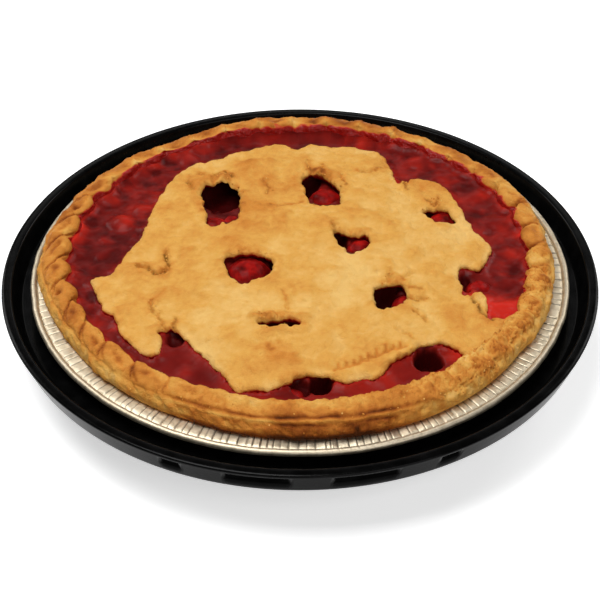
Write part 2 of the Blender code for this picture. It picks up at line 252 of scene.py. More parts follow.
def turned_faces(rows, columns):
    """Quads between the rows of a grid whose last column joins the first."""
    row, column = np.meshgrid(np.arange(rows - 1), np.arange(columns), indexing="ij")
    here, after = row * columns + column, row * columns + (column + 1) % columns
    return np.stack([here, after, after + columns, here + columns], axis=-1).reshape(-1, 4)


def turned_points(radius, height, turns):
    """Points of a grid from radii and heights, one row for each point of the section; turns in degrees."""
    angle = np.radians(turns)
    return np.stack([radius * np.cos(angle), radius * np.sin(angle), height + 0.0 * angle], axis=-1)


def spline(points, steps, closed=False):
    """A Catmull-Rom curve through the points, with steps samples for each span."""
    points = np.asarray(points, float)
    count = len(points)
    picks = np.arange(count if closed else count - 1)

    def pick(shift):
        index = picks + shift
        return points[index % count] if closed else points[np.clip(index, 0, count - 1)]

    before, here, after, beyond = (pick(shift)[:, None] for shift in (-1, 0, 1, 2))
    t = (np.arange(steps) / steps)[None, :, None]
    curve = 0.5 * (2 * here + (after - before) * t + (2 * before - 5 * here + 4 * after - beyond) * t ** 2
                   + (3 * here - before - 3 * after + beyond) * t ** 3)
    curve = curve.reshape(-1, points.shape[1])
    return curve if closed else np.vstack([curve, points[-1:]])


print("spline test:", len(spline([(0, 0), (1, 1), (2, 0)], 4)), "points")

# %% [markdown]
# Every piece ends as a plain mesh, made from points and faces. It can carry painted numbers, one for each
# point, which its material or its node tree reads. Points that coincide, such as those on the axis, are
# merged, and then all faces are turned outwards.

# %% Mesh helpers


def paint(mesh, marks):
    """Gives each point of a mesh one number for each named array in marks."""
    for mark, values in marks.items():
        layer = mesh.attributes.new(mark, "FLOAT", "POINT")
        layer.data.foreach_set("value", np.asarray(values, np.float32).ravel())


def mesh_points(thing):
    """The points of an object's mesh in millimetres."""
    points = np.empty(len(thing.data.vertices) * 3)
    thing.data.vertices.foreach_get("co", points)
    return points.reshape(-1, 3) / MM


def make_object(name, points, faces, material, marks=None):
    """An object from points in millimetres, painted with marks."""
    mesh = bpy.data.meshes.new(name)
    mesh.from_pydata((np.asarray(points).reshape(-1, 3) * MM).tolist(), [], [list(face) for face in faces])
    paint(mesh, marks or {})
    mesh.materials.append(material)
    thing = bpy.data.objects.new(name, mesh)
    scene.collection.objects.link(thing)
    return thing


def close_up(thing, merge=0.01):
    """Merges points nearer than merge mm, turns the faces outwards and shades them smooth."""
    mesh = bmesh.new()
    mesh.from_mesh(thing.data)
    bmesh.ops.remove_doubles(mesh, verts=mesh.verts, dist=merge * MM)
    bmesh.ops.recalc_face_normals(mesh, faces=mesh.faces)
    mesh.to_mesh(thing.data)
    open_edges = sum(not edge.is_manifold for edge in mesh.edges)
    mesh.free()
    thing.data.shade_smooth()
    triangles = sum(len(face.vertices) - 2 for face in thing.data.polygons)
    print(f"{thing.name}: {triangles} triangles, {open_edges} open edges")


# %% [markdown]
# What repeats or follows a rule is made by Geometry Nodes. A tree takes in a mesh and a named input for each
# of its sizes, and ends in Realize Instances and Set Material. Its result then replaces the object's mesh, so
# that every piece ends as a plain mesh.

# %% Geometry Nodes helpers


def apply_modifier(thing):
    """Replaces an object's mesh with the result of its modifiers, and removes them."""
    depsgraph = bpy.context.evaluated_depsgraph_get()
    mesh = bpy.data.meshes.new_from_object(thing.evaluated_get(depsgraph), depsgraph=depsgraph)
    thing.modifiers.clear()
    thing.data = mesh
    mesh.name = thing.name


def run_tree(thing, tree, **values):
    """Adds a Geometry Nodes modifier, sets its named inputs by their identifiers and applies it."""
    modifier = thing.modifiers.new(tree.name, "NODES")
    modifier.node_group = tree
    for item in tree.interface.items_tree:
        if item.in_out == "INPUT" and item.name in values:
            modifier[item.identifier] = values[item.name]
    apply_modifier(thing)


def new_tree(name, **sockets):
    """A Geometry Nodes tree with geometry in and out, and one more input for each named socket type."""
    tree = bpy.data.node_groups.new(name, "GeometryNodeTree")
    tree.interface.new_socket("Geometry", in_out="INPUT", socket_type="NodeSocketGeometry")
    for socket, kind in sockets.items():
        tree.interface.new_socket(socket, in_out="INPUT", socket_type=kind)
    tree.interface.new_socket("Geometry", in_out="OUTPUT", socket_type="NodeSocketGeometry")
    return tree, add_node(tree, "NodeGroupInput")


def end_tree(tree, geometry, material):
    """Ends a tree in Realize Instances and Set Material."""
    real = add_node(tree, "GeometryNodeRealizeInstances", {"Geometry": geometry})
    painted = add_node(tree, "GeometryNodeSetMaterial", {"Geometry": real, "Material": material})
    add_node(tree, "NodeGroupOutput", {"Geometry": painted})


print("node trees before the first piece:", len(bpy.data.node_groups))

# %% [markdown]
# The tray is one sheet of black polystyrene, sucked down over a mould. The sheet comes out glossy where the
# air cooled it, with soft corners, a faint orange peel and fine scuffs. Its section is turned about the
# axis. The skirt under the lip has shallow lock windows, where a clear dome would snap on, so the skirt's
# rows step inwards over those angles.

# %% Thermoformed polystyrene
polystyrene, tree, shader = new_material("thermoformed_polystyrene")
where = add_node(tree, "ShaderNodeTexCoord").outputs["Object"]
# Scuffs 6 mm long are far too faint to see one by one; they only vary the gloss.
scuffs = add_node(tree, "ShaderNodeTexNoise", {"Vector": where, "Scale": 1000 / 6.0, "Detail": 4.0})
gloss = add_node(tree, "ShaderNodeMapRange", {"Value": scuffs, "To Min": 0.13, "To Max": 0.27})
tint = add_node(tree, "ShaderNodeValToRGB", {"Fac": scuffs}, stops=((0.35, "#040404"), (0.7, "#0a0a0a")))
# Orange peel: waves 1.5 mm wide that make the reflections swim a little.
peel = add_node(tree, "ShaderNodeTexNoise", {"Vector": where, "Scale": 1000 / 1.5, "Detail": 1.0})
relief = add_node(tree, "ShaderNodeBump", {"Height": peel, "Strength": 0.12, "Distance": 0.0002})
# The skirt is grained in the mould and its lock windows are etched, so they mirror the table less.
etched = add_node(tree, "ShaderNodeAttribute", attribute_name="etched").outputs["Fac"]
shine = add_node(tree, "ShaderNodeMapRange", {"Value": etched, "To Min": 0.075, "To Max": 0.0})
fill(tree, shader, {"Base Color": tint, "Roughness": gloss, "Normal": relief, "Specular IOR Level": shine,
                    "IOR": 1.5})
print("tray finish:", polystyrene.name)

# %% Tray section
TRAY_COLUMNS = 720
LOCK_CENTRE = 272.0  # degrees; the windows repeat every quarter turn from here
LOCK_WINDOWS = ((3.75, 15.0), (22.5, 26.25))  # degrees either side of each centre
LOCK_DEPTH = 0.6
SKIRT_GRAIN = 0.62  # how matt the skirt is, where a lock window is 1
SKIRT = (  # radius, height and share of the lock depth, from the foot up
    (123.1, 21.2, 0.0), (123.6, 21.3, 0.0), (123.9, 22.2, 0.0), (125.2, 25.9, 0.0), (125.3, 26.2, 1.0),
    (126.6, 30.0, 1.0), (126.7, 30.3, 0.0), (126.9, 30.8, 0.0), (127.0, 31.2, 0.0),
)
INSIDE = (  # from the lip in over the channel and down the well
    (126.9, 31.55), (126.6, 31.8), (126.1, 31.95), (125.4, 32.0), (123.6, 32.0), (123.1, 31.9),
    (122.75, 31.6), (122.5, 31.1), (120.1, 25.1), (119.8, 24.6), (119.3, 24.15), (118.6, 24.0),
    (110.2, 24.0), (109.2, 23.8), (108.4, 23.2), (107.8, 22.4), (94.0, 4.6), (92.6, 2.9), (90.7, 1.8),
    (87.8, 1.0), (0.0, 1.0),
)
UNDER = (
    (0.0, 0.0), (88.0, 0.0), (91.2, 0.9), (94.7, 3.8), (108.6, 21.8), (109.9, 23.0), (119.6, 23.0),
    (121.1, 24.4), (123.7, 30.8), (125.5, 30.8), (122.5, 21.3),
)


def lock_share(turns):
    """1 inside a lock window and 0 outside, for angles in degrees."""
    away = angle_between(turns % 90.0 * 4.0, LOCK_CENTRE % 90.0 * 4.0) / 4.0
    return sum(((away > low) & (away < high)).astype(float) for low, high in LOCK_WINDOWS)


turns = np.arange(TRAY_COLUMNS) * 360.0 / TRAY_COLUMNS
window = lock_share(turns)
rows = [(radius, height, 0.0) for radius, height in UNDER] + list(SKIRT)
rows += [(radius, height, 0.0) for radius, height in INSIDE]
points = [
    turned_points(radius - LOCK_DEPTH * share * window, height, turns) for radius, height, share in rows
]
skirt_rows = range(len(UNDER), len(UNDER) + len(SKIRT) - 1)
etched = [
    np.maximum(share * window, SKIRT_GRAIN * (index in skirt_rows))
    for index, (_, _, share) in enumerate(rows)
]
tray = make_object("thermoformed_tray", points, turned_faces(len(rows), TRAY_COLUMNS), polystyrene,
                   {"etched": etched})
close_up(tray)

# %% [markdown]
# The tin is pressed from a disc of thin aluminium. The metal has to fit into a smaller circle at the mouth,
# so the flange gathers into pleats, sharp folds with flat facets between them, and the cut edge is rolled
# into a bead. The pleats repeat unevenly round the flange, which is a rule, so Geometry Nodes make them: a
# one-dimensional Voronoi pattern runs round the rim, its cell borders are the folds and each cell is a
# facet with a tilt of its own. At the front, where the tin was pinched most, the folds lie closer together.

# %% Aluminium foil
aluminium, tree, shader = new_material("aluminium_foil")
where = add_node(tree, "ShaderNodeTexCoord").outputs["Object"]
# Rolled foil is bright but full of crinkles 1 to 3 mm wide, which break every reflection up.
crinkle = add_node(tree, "ShaderNodeTexNoise", {"Vector": where, "Scale": 1000 / 2.2, "Detail": 3.0})
relief = add_node(tree, "ShaderNodeBump", {"Height": crinkle, "Strength": 0.35, "Distance": 0.0004})
gloss = add_node(tree, "ShaderNodeMapRange", {"Value": crinkle, "To Min": 0.42, "To Max": 0.62})
# The foil's colour is tinted a warm tan: a painted reflection of the golden crust beside it.
tint = add_node(tree, "ShaderNodeValToRGB", {"Fac": crinkle}, stops=((0.3, "#d6c7ab"), (0.7, "#eaddc4")))
# Light can't reach the bottom of a fold, where two layers of foil touch, so it reads as a dark line.
folded = add_node(tree, "ShaderNodeAttribute", attribute_name="folded").outputs["Fac"]
shadow = add_node(tree, "ShaderNodeMath", {0: folded, 1: 0.95}, operation="MULTIPLY")
tint = add_node(tree, "ShaderNodeMix", {0: shadow, MIX_A: tint, MIX_B: colour("#2a2219")}, data_type="RGBA")
fill(tree, shader, {"Base Color": tint.outputs[MIX_RESULT], "Roughness": gloss, "Normal": relief,
                    "Metallic": 1.0})
print("tin finish:", aluminium.name)

# %% Pleat rule as Geometry Nodes
pleat_tree, sizes = new_tree(
    "foil_pleats", Pleats="NodeSocketFloat", Gather="NodeSocketFloat", Fold="NodeSocketFloat",
    Tilt="NodeSocketFloat", Lift="NodeSocketFloat", Finish="NodeSocketMaterial",
)
size = sizes.outputs
spot = add_node(pleat_tree, "ShaderNodeSeparateXYZ", {0: add_node(pleat_tree, "GeometryNodeInputPosition")})
back = add_node(pleat_tree, "ShaderNodeMath", {0: spot.outputs["Y"], 1: -1.0}, operation="MULTIPLY")
# The angle is zero at the front, so the pattern's seam lies at the back.
angle = add_node(pleat_tree, "ShaderNodeMath", {0: spot.outputs["X"], 1: back}, operation="ARCTAN2")
even = add_node(pleat_tree, "ShaderNodeMath", {0: size["Pleats"], 1: 2 * pi}, operation="DIVIDE")
steady = add_node(pleat_tree, "ShaderNodeMath", {0: angle, 1: even}, operation="MULTIPLY")
swing = add_node(pleat_tree, "ShaderNodeMath", {0: angle}, operation="SINE")
place = add_node(pleat_tree, "ShaderNodeMath", {0: swing, 1: size["Gather"], 2: steady},
                 operation="MULTIPLY_ADD")
cell = add_node(pleat_tree, "ShaderNodeTexVoronoi", {"W": place, "Scale": 1.0, "Randomness": 0.95},
                voronoi_dimensions="1D")
edge = add_node(pleat_tree, "ShaderNodeTexVoronoi", {"W": place, "Scale": 1.0, "Randomness": 0.95},
                voronoi_dimensions="1D", feature="DISTANCE_TO_EDGE")
chance = add_node(pleat_tree, "ShaderNodeSeparateXYZ", {0: cell.outputs["Color"]})
fold = add_node(pleat_tree, "ShaderNodeMapRange",
                {"Value": edge.outputs["Distance"], "From Max": 0.09, "To Min": -1.0, "To Max": 0.0},
                interpolation_type="SMOOTHSTEP")
fold_drop = add_node(pleat_tree, "ShaderNodeMath", {0: fold, 1: size["Fold"]}, operation="MULTIPLY")
aside = add_node(pleat_tree, "ShaderNodeMath", {0: place, 1: cell.outputs["W"]}, operation="SUBTRACT")
lean = add_node(pleat_tree, "ShaderNodeMath", {0: chance.outputs["X"], 1: 0.5}, operation="SUBTRACT")
tilt = add_node(pleat_tree, "ShaderNodeMath", {0: aside, 1: lean}, operation="MULTIPLY")
tilt_rise = add_node(pleat_tree, "ShaderNodeMath", {0: tilt, 1: size["Tilt"], 2: fold_drop},
                     operation="MULTIPLY_ADD")
level = add_node(pleat_tree, "ShaderNodeMath", {0: chance.outputs["Y"], 1: 0.5}, operation="SUBTRACT")
rise = add_node(pleat_tree, "ShaderNodeMath", {0: level, 1: size["Lift"], 2: tilt_rise},
                operation="MULTIPLY_ADD")
weight = add_node(pleat_tree, "GeometryNodeInputNamedAttribute", {"Name": "pleated"}, data_type="FLOAT")
height = add_node(pleat_tree, "ShaderNodeMath", {0: rise, 1: weight}, operation="MULTIPLY")
shift = add_node(pleat_tree, "ShaderNodeCombineXYZ", {"Z": height})
moved = add_node(pleat_tree, "GeometryNodeSetPosition", {"Geometry": size["Geometry"], "Offset": shift})
closed = add_node(pleat_tree, "ShaderNodeMath", {0: fold, 1: weight}, operation="MULTIPLY")
closed = add_node(pleat_tree, "ShaderNodeMath", {0: closed, 1: -1.0}, operation="MULTIPLY")
marked = add_node(pleat_tree, "GeometryNodeStoreNamedAttribute",
                  {"Geometry": moved, "Name": "folded", "Value": closed},
                  data_type="FLOAT", domain="POINT")
end_tree(pleat_tree, marked, size["Finish"])
print("pleat rule:", len(pleat_tree.nodes), "nodes")

# %% Foil tin
TIN_COLUMNS = 2160
TIN_SECTION = (  # radius, height and how far the pleats reach there, from the floor up and out to the bead
    (0.0, 1.9, 0.0), (83.0, 1.9, 0.0), (84.8, 2.4, 0.0), (85.6, 3.4, 0.0), (103.4, 29.6, 0.0),
    (104.2, 30.7, 0.4), (105.2, 31.15, 0.8), (107.0, 31.2, 1.0), (108.2, 31.2, 1.0), (109.4, 31.2, 1.0),
    (110.6, 31.15, 1.0), (111.4, 31.0, 0.8), (111.9, 30.75, 0.35), (112.15, 30.6, 0.15),
)
BEAD_CENTRE = (113.5, 30.5)
BEAD_RADIUS = 1.4
BEAD_STEPS = 12
TIN_SHEET = 0.6
bead = [
    (BEAD_CENTRE[0] - BEAD_RADIUS * cos(radians(lean)),
     BEAD_CENTRE[1] + BEAD_RADIUS * sin(radians(lean)), 0.12)
    for lean in np.linspace(5.0, 265.0, BEAD_STEPS)
]
under = [(radius + 0.2, height - TIN_SHEET, share) for radius, height, share in TIN_SECTION[:0:-1]]
rows = list(TIN_SECTION) + bead + under + [(0.0, 1.3, 0.0)]
turns = np.arange(TIN_COLUMNS) * 360.0 / TIN_COLUMNS
spots = turned_points(BEAD_CENTRE[0], 0.0, turns)
wander = 0.16 * soft_noise(spots[:, 0], spots[:, 1], 9.0, 3)  # the bead is bent by hand, out and in
points, reach = [], []
for radius, height, share in rows:
    points.append(turned_points(radius + wander * (radius > 104.0), height, turns))
    reach.append(np.full(TIN_COLUMNS, share))
tin = make_object("pleated_foil_tin", points, turned_faces(len(rows), TIN_COLUMNS), aluminium,
                  {"pleated": reach})
run_tree(tin, pleat_tree, Pleats=140.0, Gather=15.0, Fold=0.5 * MM, Tilt=1.0 * MM, Lift=0.35 * MM,
         Finish=aluminium)
close_up(tin)

# %% [markdown]
# Shortcrust pastry bakes from cream to gold to brown, and it browns first where it is thin, raised or near
# the hot metal. Each pastry mesh carries two painted values: one from 0 for pale to 1 for dark brown, which
# holds the browning and also painted shade in folds, creases and cracks, and "glazed", which is 1 where
# cherry gel has run over the dough. The top crust carries a third, for painted shade down in its cracks.
# Noise at three real scales
# breaks the colour up: patches of a centimetre, blisters of 2 to 3 mm, and the grain of the flour, drawn at
# 0.6 mm.

# %% Baked shortcrust pastry
pastry, tree, shader = new_material("baked_shortcrust_pastry")
where = add_node(tree, "ShaderNodeTexCoord").outputs["Object"]
baked_and_shaded = add_node(tree, "ShaderNodeAttribute", attribute_name="baked_and_shaded").outputs["Fac"]
glazed = add_node(tree, "ShaderNodeAttribute", attribute_name="glazed").outputs["Fac"]
patches = add_node(tree, "ShaderNodeTexNoise", {"Vector": where, "Scale": 1000 / 11.0, "Detail": 3.0})
blisters = add_node(tree, "ShaderNodeTexNoise", {"Vector": where, "Scale": 1000 / 2.6, "Detail": 2.0})
grain = add_node(tree, "ShaderNodeTexNoise", {"Vector": where, "Scale": 1000 / 0.6, "Detail": 2.0})
uneven = add_node(tree, "ShaderNodeMath", {0: patches, 1: 0.42, 2: baked_and_shaded}, operation="MULTIPLY_ADD")
uneven = add_node(tree, "ShaderNodeMath", {0: blisters, 1: 0.22, 2: uneven}, operation="MULTIPLY_ADD")
uneven = add_node(tree, "ShaderNodeMath", {0: grain, 1: 0.1, 2: uneven}, operation="MULTIPLY_ADD")
uneven = add_node(tree, "ShaderNodeMath", {0: uneven, 1: 0.37}, operation="SUBTRACT")
# The same ramp turns the painted shade that the meshes carry in their folds, creases and cracks into darker
# colour.
crumb_tint = add_node(tree, "ShaderNodeValToRGB", {"Fac": uneven}, stops=(
    (0.0, "#efc070"), (0.22, "#e4a84f"), (0.42, "#d58a37"), (0.62, "#b36621"), (0.82, "#84400c"),
    (1.0, "#4e2404")))
# Gel that has soaked the dough is a clear cherry red where it lies thick and orange where it thins out.
soaked = add_node(tree, "ShaderNodeValToRGB", {"Fac": glazed}, stops=(
    (0.0, "#d9953f"), (0.35, "#cc5a24"), (0.7, "#bd2418"), (1.0, "#9c1610")))
film = add_node(tree, "ShaderNodeMapRange", {"Value": glazed, "From Min": 0.05, "From Max": 0.4})
# Down in a crack the gold of the dough is mixed to a dull olive brown: painted shade.
crack_shade = add_node(tree, "ShaderNodeAttribute", attribute_name="crack_shade").outputs["Fac"]
shaded_crack = add_node(tree, "ShaderNodeMix",
                   {0: crack_shade, MIX_A: crumb_tint, MIX_B: colour("#7c5212")}, data_type="RGBA")
surface = add_node(tree, "ShaderNodeMix",
                   {0: film, MIX_A: shaded_crack.outputs[MIX_RESULT], MIX_B: soaked}, data_type="RGBA")
# Dry pastry is matt; wet gel on it is as glossy as varnish.
gloss = add_node(tree, "ShaderNodeMapRange",
                 {"Value": glazed, "From Min": 0.2, "From Max": 0.7, "To Min": 0.62, "To Max": 0.26})
shine = add_node(tree, "ShaderNodeMapRange",
                 {"Value": glazed, "From Min": 0.2, "From Max": 0.7, "To Min": 0.15, "To Max": 0.35})
rough = add_node(tree, "ShaderNodeMath", {0: blisters, 1: 1.6, 2: grain}, operation="MULTIPLY_ADD")
relief = add_node(tree, "ShaderNodeBump", {"Height": rough, "Strength": 0.75, "Distance": 0.0006})
fill(tree, shader, {
    "Base Color": surface.outputs[MIX_RESULT], "Roughness": gloss, "Specular IOR Level": shine,
    "Normal": relief, "IOR": 1.45, "Subsurface Weight": 0.06, "Subsurface Radius": (1.0, 0.5, 0.25),
    "Subsurface Scale": 2.5 * MM})
print("crust finish:", pastry.name)

# %% [markdown]
# The rim is crimped: 39 flutes, each pressed with a fingertip, so its section changes between two forms as
# it goes round. At a notch between two flutes the crest stands far out; in the middle of a flute the dough
# is pushed in and its crest leans over the gel. At the front it was pressed nearly flat. The mesh starts as
# the notch section turned about the axis, and carries how far each row moves to become the other two
# sections. A Geometry Nodes tree then blends the three by one wave round the rim, with the number of
# flutes, the first notch and the wave's sharpness as its inputs.

# %% Rim sections
FLUTES = 39
FIRST_NOTCH = 9.0  # degrees
FLUTE_SHARPNESS = 0.95
GEL_LEVEL = 35.2
FRONT = 280.0
FRONT_REACH = (24.0, 105.0)  # degrees from the front where the flutes begin to rise, and are full again
FRONT_SHARE = 0.95
NOTCH_SECTION = (
    (107.5, 32.0), (107.9, 34.6), (106.8, 37.6), (104.9, 40.0), (103.0, 40.9), (101.4, 40.0),
    (100.0, 38.2), (98.4, GEL_LEVEL), (98.2, GEL_LEVEL - 1.2),
)
FLUTE_SECTION = (
    (107.5, 32.0), (107.9, 34.2), (107.0, 36.8), (105.4, 39.0), (102.8, 40.5), (99.7, 40.6), (97.0, 39.0),
    (96.1, GEL_LEVEL), (96.0, GEL_LEVEL - 1.2),
)
FRONT_SECTION = (
    (107.5, 32.0), (107.8, 34.8), (106.4, 37.6), (104.5, 40.0), (101.2, 41.0), (97.6, 41.4), (95.4, 40.6),
    (94.6, GEL_LEVEL), (94.6, GEL_LEVEL - 1.2),
)
# From the back left round to the right the rim was spread wider, out to the tin's bead.
SPREAD = (4.2, 4.2, 4.0, 3.4, 2.6, 1.9, 1.5, 1.1, 1.1)
WIDE = 108.0  # degrees, the middle of the wide stretch
WIDE_REACH = (72.0, 108.0)
SHELL_OUTSIDE = ((0.0, 2.2), (82.8, 2.2), (85.2, 3.8), (102.9, 29.8), (104.4, 31.6))
SHELL_INSIDE = ((97.4, 31.4), (96.8, 27.2), (83.6, 6.8), (81.0, 5.6), (0.0, 5.6))
RIM_STEPS = 7  # rows for each span of a section
RIM_COLUMNS = FLUTES * 28

notch, flute, flat = (spline(section, RIM_STEPS) for section in (NOTCH_SECTION, FLUTE_SECTION, FRONT_SECTION))
spread = spline(np.stack([SPREAD, np.zeros(len(SPREAD))], axis=1), RIM_STEPS)
section = np.vstack([SHELL_OUTSIDE, notch, SHELL_INSIDE])
rim_turns = FIRST_NOTCH + np.arange(RIM_COLUMNS) * 360.0 / RIM_COLUMNS
pressed = FRONT_SHARE * (1.0 - smooth_step(*FRONT_REACH, angle_between(rim_turns, FRONT)))
wide = 1.0 - smooth_step(*WIDE_REACH, angle_between(rim_turns, WIDE))
grid = turned_points(section[:, :1], section[:, 1:], rim_turns[None, :])
marks = {"pressed": np.broadcast_to(pressed, grid.shape[:2]), "wide": np.broadcast_to(wide, grid.shape[:2])}
for name, way in (("flute", flute - notch), ("flat", flat - notch), ("spread", spread)):
    way = np.vstack([np.zeros((len(SHELL_OUTSIDE), 2)), way, np.zeros((len(SHELL_INSIDE), 2))])
    marks[name + "_out"] = np.broadcast_to(way[:, :1] * MM, grid.shape[:2])
    marks[name + "_up"] = np.broadcast_to(way[:, 1:] * MM, grid.shape[:2])
crust = make_object("crimped_bottom_crust", grid, turned_faces(len(section), RIM_COLUMNS), pastry, marks)
print("rim grid:", grid.shape[:2])

# %% Flute rule as Geometry Nodes
flute_tree, sizes = new_tree(
    "crimped_flutes", Flutes="NodeSocketFloat", First_notch="NodeSocketFloat", Sharpness="NodeSocketFloat",
    Finish="NodeSocketMaterial",
)
size = sizes.outputs
mark = {
    name: add_node(flute_tree, "GeometryNodeInputNamedAttribute", {"Name": name}, data_type="FLOAT")
    for name in marks
}
spot = add_node(flute_tree, "ShaderNodeSeparateXYZ", {0: add_node(flute_tree, "GeometryNodeInputPosition")})
angle = add_node(flute_tree, "ShaderNodeMath", {0: spot.outputs["Y"], 1: spot.outputs["X"]},
                 operation="ARCTAN2")
phase = add_node(flute_tree, "ShaderNodeMath", {0: angle, 1: size["First_notch"]}, operation="SUBTRACT")
phase = add_node(flute_tree, "ShaderNodeMath", {0: phase, 1: size["Flutes"]}, operation="MULTIPLY")
phase = add_node(flute_tree, "ShaderNodeMath", {0: phase, 1: 0.5}, operation="MULTIPLY")
wave = add_node(flute_tree, "ShaderNodeMath", {0: phase}, operation="SINE")
wave = add_node(flute_tree, "ShaderNodeMath", {0: wave}, operation="ABSOLUTE")
wave = add_node(flute_tree, "ShaderNodeMath", {0: wave, 1: size["Sharpness"]}, operation="POWER")
free = add_node(flute_tree, "ShaderNodeMath", {0: 1.0, 1: mark["pressed"]}, operation="SUBTRACT")
share = add_node(flute_tree, "ShaderNodeMath", {0: wave, 1: free}, operation="MULTIPLY")
ways = {}
for way in ("out", "up"):
    widened = add_node(flute_tree, "ShaderNodeMath", {0: mark["spread_" + way], 1: mark["wide"]},
                       operation="MULTIPLY")
    flattened = add_node(flute_tree, "ShaderNodeMath",
                         {0: mark["flat_" + way], 1: mark["pressed"], 2: widened}, operation="MULTIPLY_ADD")
    ways[way] = add_node(flute_tree, "ShaderNodeMath",
                         {0: mark["flute_" + way], 1: share, 2: flattened}, operation="MULTIPLY_ADD")
shift = add_node(flute_tree, "ShaderNodeCombineXYZ", {"X": ways["out"], "Z": ways["up"]})
turned = add_node(flute_tree, "ShaderNodeVectorRotate", {"Vector": shift, "Angle": angle},
                  rotation_type="Z_AXIS")
moved = add_node(flute_tree, "GeometryNodeSetPosition", {"Geometry": size["Geometry"], "Offset": turned})
end_tree(flute_tree, moved, size["Finish"])
run_tree(crust, flute_tree, Flutes=float(FLUTES), First_notch=radians(FIRST_NOTCH), Sharpness=FLUTE_SHARPNESS,
         Finish=pastry)
print("flute rule:", len(flute_tree.nodes), "nodes")

# %% [markdown]
# A rule gives an even rim, and fingers don't. Each flute now gets a fingertip dimple of its own size and
# place, a crease where it folds against the next one, and a swell between. The crust's face normals are
# worked out from the grid, and every dent is cut along them. Along the front the wall has two flaky ledges,
# and at the right of them the dough is crumbly. The same fields say where the crust's colour is darker: where
# the oven browned it, and painted shade in its folds, creases and gaps.

# %% Fingertip dents, creases and crumbs of the rim
HALF_PITCH = 8.1  # mm from a notch to the middle of a flute at the crest
CREST_RADIUS = 105.0
BACK, LEFT = 90.0, 190.0  # degrees


def grid_normals(points):
    """Unit normals of a turned grid, outwards for rows that climb the outside."""
    along = np.roll(points, -1, axis=1) - np.roll(points, 1, axis=1)
    up = np.gradient(points, axis=0)
    normal = np.cross(along, up)
    return normal / np.maximum(np.linalg.norm(normal, axis=-1, keepdims=True), 1e-9)


def wrinkles(x, y, size, seed):
    """1 along a net of fine wrinkles about size apart, where the noise changes sign, and 0 between them."""
    return np.clip(1.0 - 5.0 * np.abs(soft_noise(x, y, size, seed)), 0.0, 1.0) ** 2


def groove(distance, width):
    """A soft V from 1 on the line to 0 well beside it."""
    return np.exp(-np.abs(distance / width) ** 1.5)


def round_spots(x, y, spots):
    """The sum of soft round spots: centre x and y, reach, and strength in the middle."""
    return sum(more * bump(np.hypot(x - centre_x, y - centre_y), 0.0, reach)
               for centre_x, centre_y, reach, more in spots)


print("half way up a groove's side:", round(float(groove(0.5, 0.64)), 2))

# %% [markdown]
# Three tables say what the hands and the oven did to this one rim, each as an angle and an amount: how far
# the flutes slid round, how far the outer face was pushed in, and where a deep fold runs along the front.
# Every flute also draws its own numbers once. From here on, step says how far up the section a point lies,
# turns where it lies round the rim, and place how far it is across its own flute.

# %% The rim's own measures
# The baker's fingers did not keep quite even time: how far the flutes have slid round, in degrees.
SLIDE = (
    (0, 1.3), (50, 0.9), (80, 0.0), (170, 0.0), (190, -1.2), (205, -2.0), (221, -2.2), (232, -1.2),
    (246, 0.0), (300, 0.0), (322, 2.3), (345, 2.7), (360, 1.3),
)
# How far the outer face was pushed in by the fingers and the oven, in mm, all the way round.
PUSHED_IN = (
    (0, -0.2), (12, -0.5), (24, 0.4), (36, 2.2), (48, 3.2), (60, 2.6), (72, 2.0), (80, 2.4), (88, 1.3),
    (96, 1.2), (105, 2.2), (114, 3.8), (123, 4.6), (132, 3.7), (144, 2.8), (156, 1.6), (168, 1.6),
    (180, 0.4), (192, 0.6), (204, 0.8), (214, 1.0), (226, 1.2), (236, 1.0), (246, 1.3), (256, 0.3),
    (264, -0.3), (282, -0.8), (292, -0.3), (302, 0.2), (318, 1.2), (326, 2.0), (333, 0.6), (343, -0.4),
    (360, -0.2),
)
# A deep fold under the crest at the front: angle, and how far up the wall it runs, in steps of the section
LONG_FOLD = (
    (238, 2.7), (250, 2.8), (258, 2.95), (266, 2.95), (271, 3.2), (282, 3.15), (290, 2.9), (300, 2.7),
)

first_row = len(SHELL_OUTSIDE)
rim_rows = slice(first_row, first_row + len(notch))
grid = mesh_points(crust).reshape(len(section), RIM_COLUMNS, 3)
slide = np.radians(np.interp(rim_turns % 360.0, *np.array(SLIDE).T))
x, y = grid[..., 0].copy(), grid[..., 1].copy()
grid[..., 0] = x * np.cos(slide) - y * np.sin(slide)
grid[..., 1] = x * np.sin(slide) + y * np.cos(slide)
rim = grid[rim_rows].copy()
x, y, z = np.moveaxis(rim, -1, 0)
step = (np.arange(len(notch)) / RIM_STEPS)[:, None]  # 0 at the foot, 5 near the crest, 7 at the gel
turns = (rim_turns + np.degrees(slide))[None, :] % 360.0
along = np.radians(turns) * CREST_RADIUS + 0.0 * step  # mm round the rim
travel = (rim_turns - FIRST_NOTCH) * FLUTES / 360.0
number = np.floor(travel).astype(int) % FLUTES
draw = np.random.default_rng(11)
dent_depth, dent_aside, dent_out, slant, swell, turn = draw.uniform(-1.0, 1.0, (6, FLUTES))
side = bump(turns, LEFT, 42.0)  # 1 at the left, where the thumb pushed the flutes over sideways
behind = 1.0 - smooth_step(45.0, 75.0, angle_between(turns, BACK))
lean = 0.12 + 0.16 * slant[number] + 0.4 * side
place = 2.0 * (travel - np.floor(travel)) - 1.0 + lean * (step - 5.0) / 1.5  # -1 and 1 at the creases
away = HALF_PITCH * np.minimum(np.abs(place - 1.0), np.abs(place + 1.0))  # mm from the nearest crease
free = smooth_step(20.0, 42.0, angle_between(turns, 272.0))
inner = smooth_step(2.3, 3.0, step) * smooth_step(7.2, 6.2, step)
print("flutes:", FLUTES, "with", RIM_COLUMNS // FLUTES, "columns each")

# %% Dents, creases and petals
# At the front right the dough was pressed to crumbs, and flutes hardly show.
crushed = bump(turns, 315.0, 22.0)
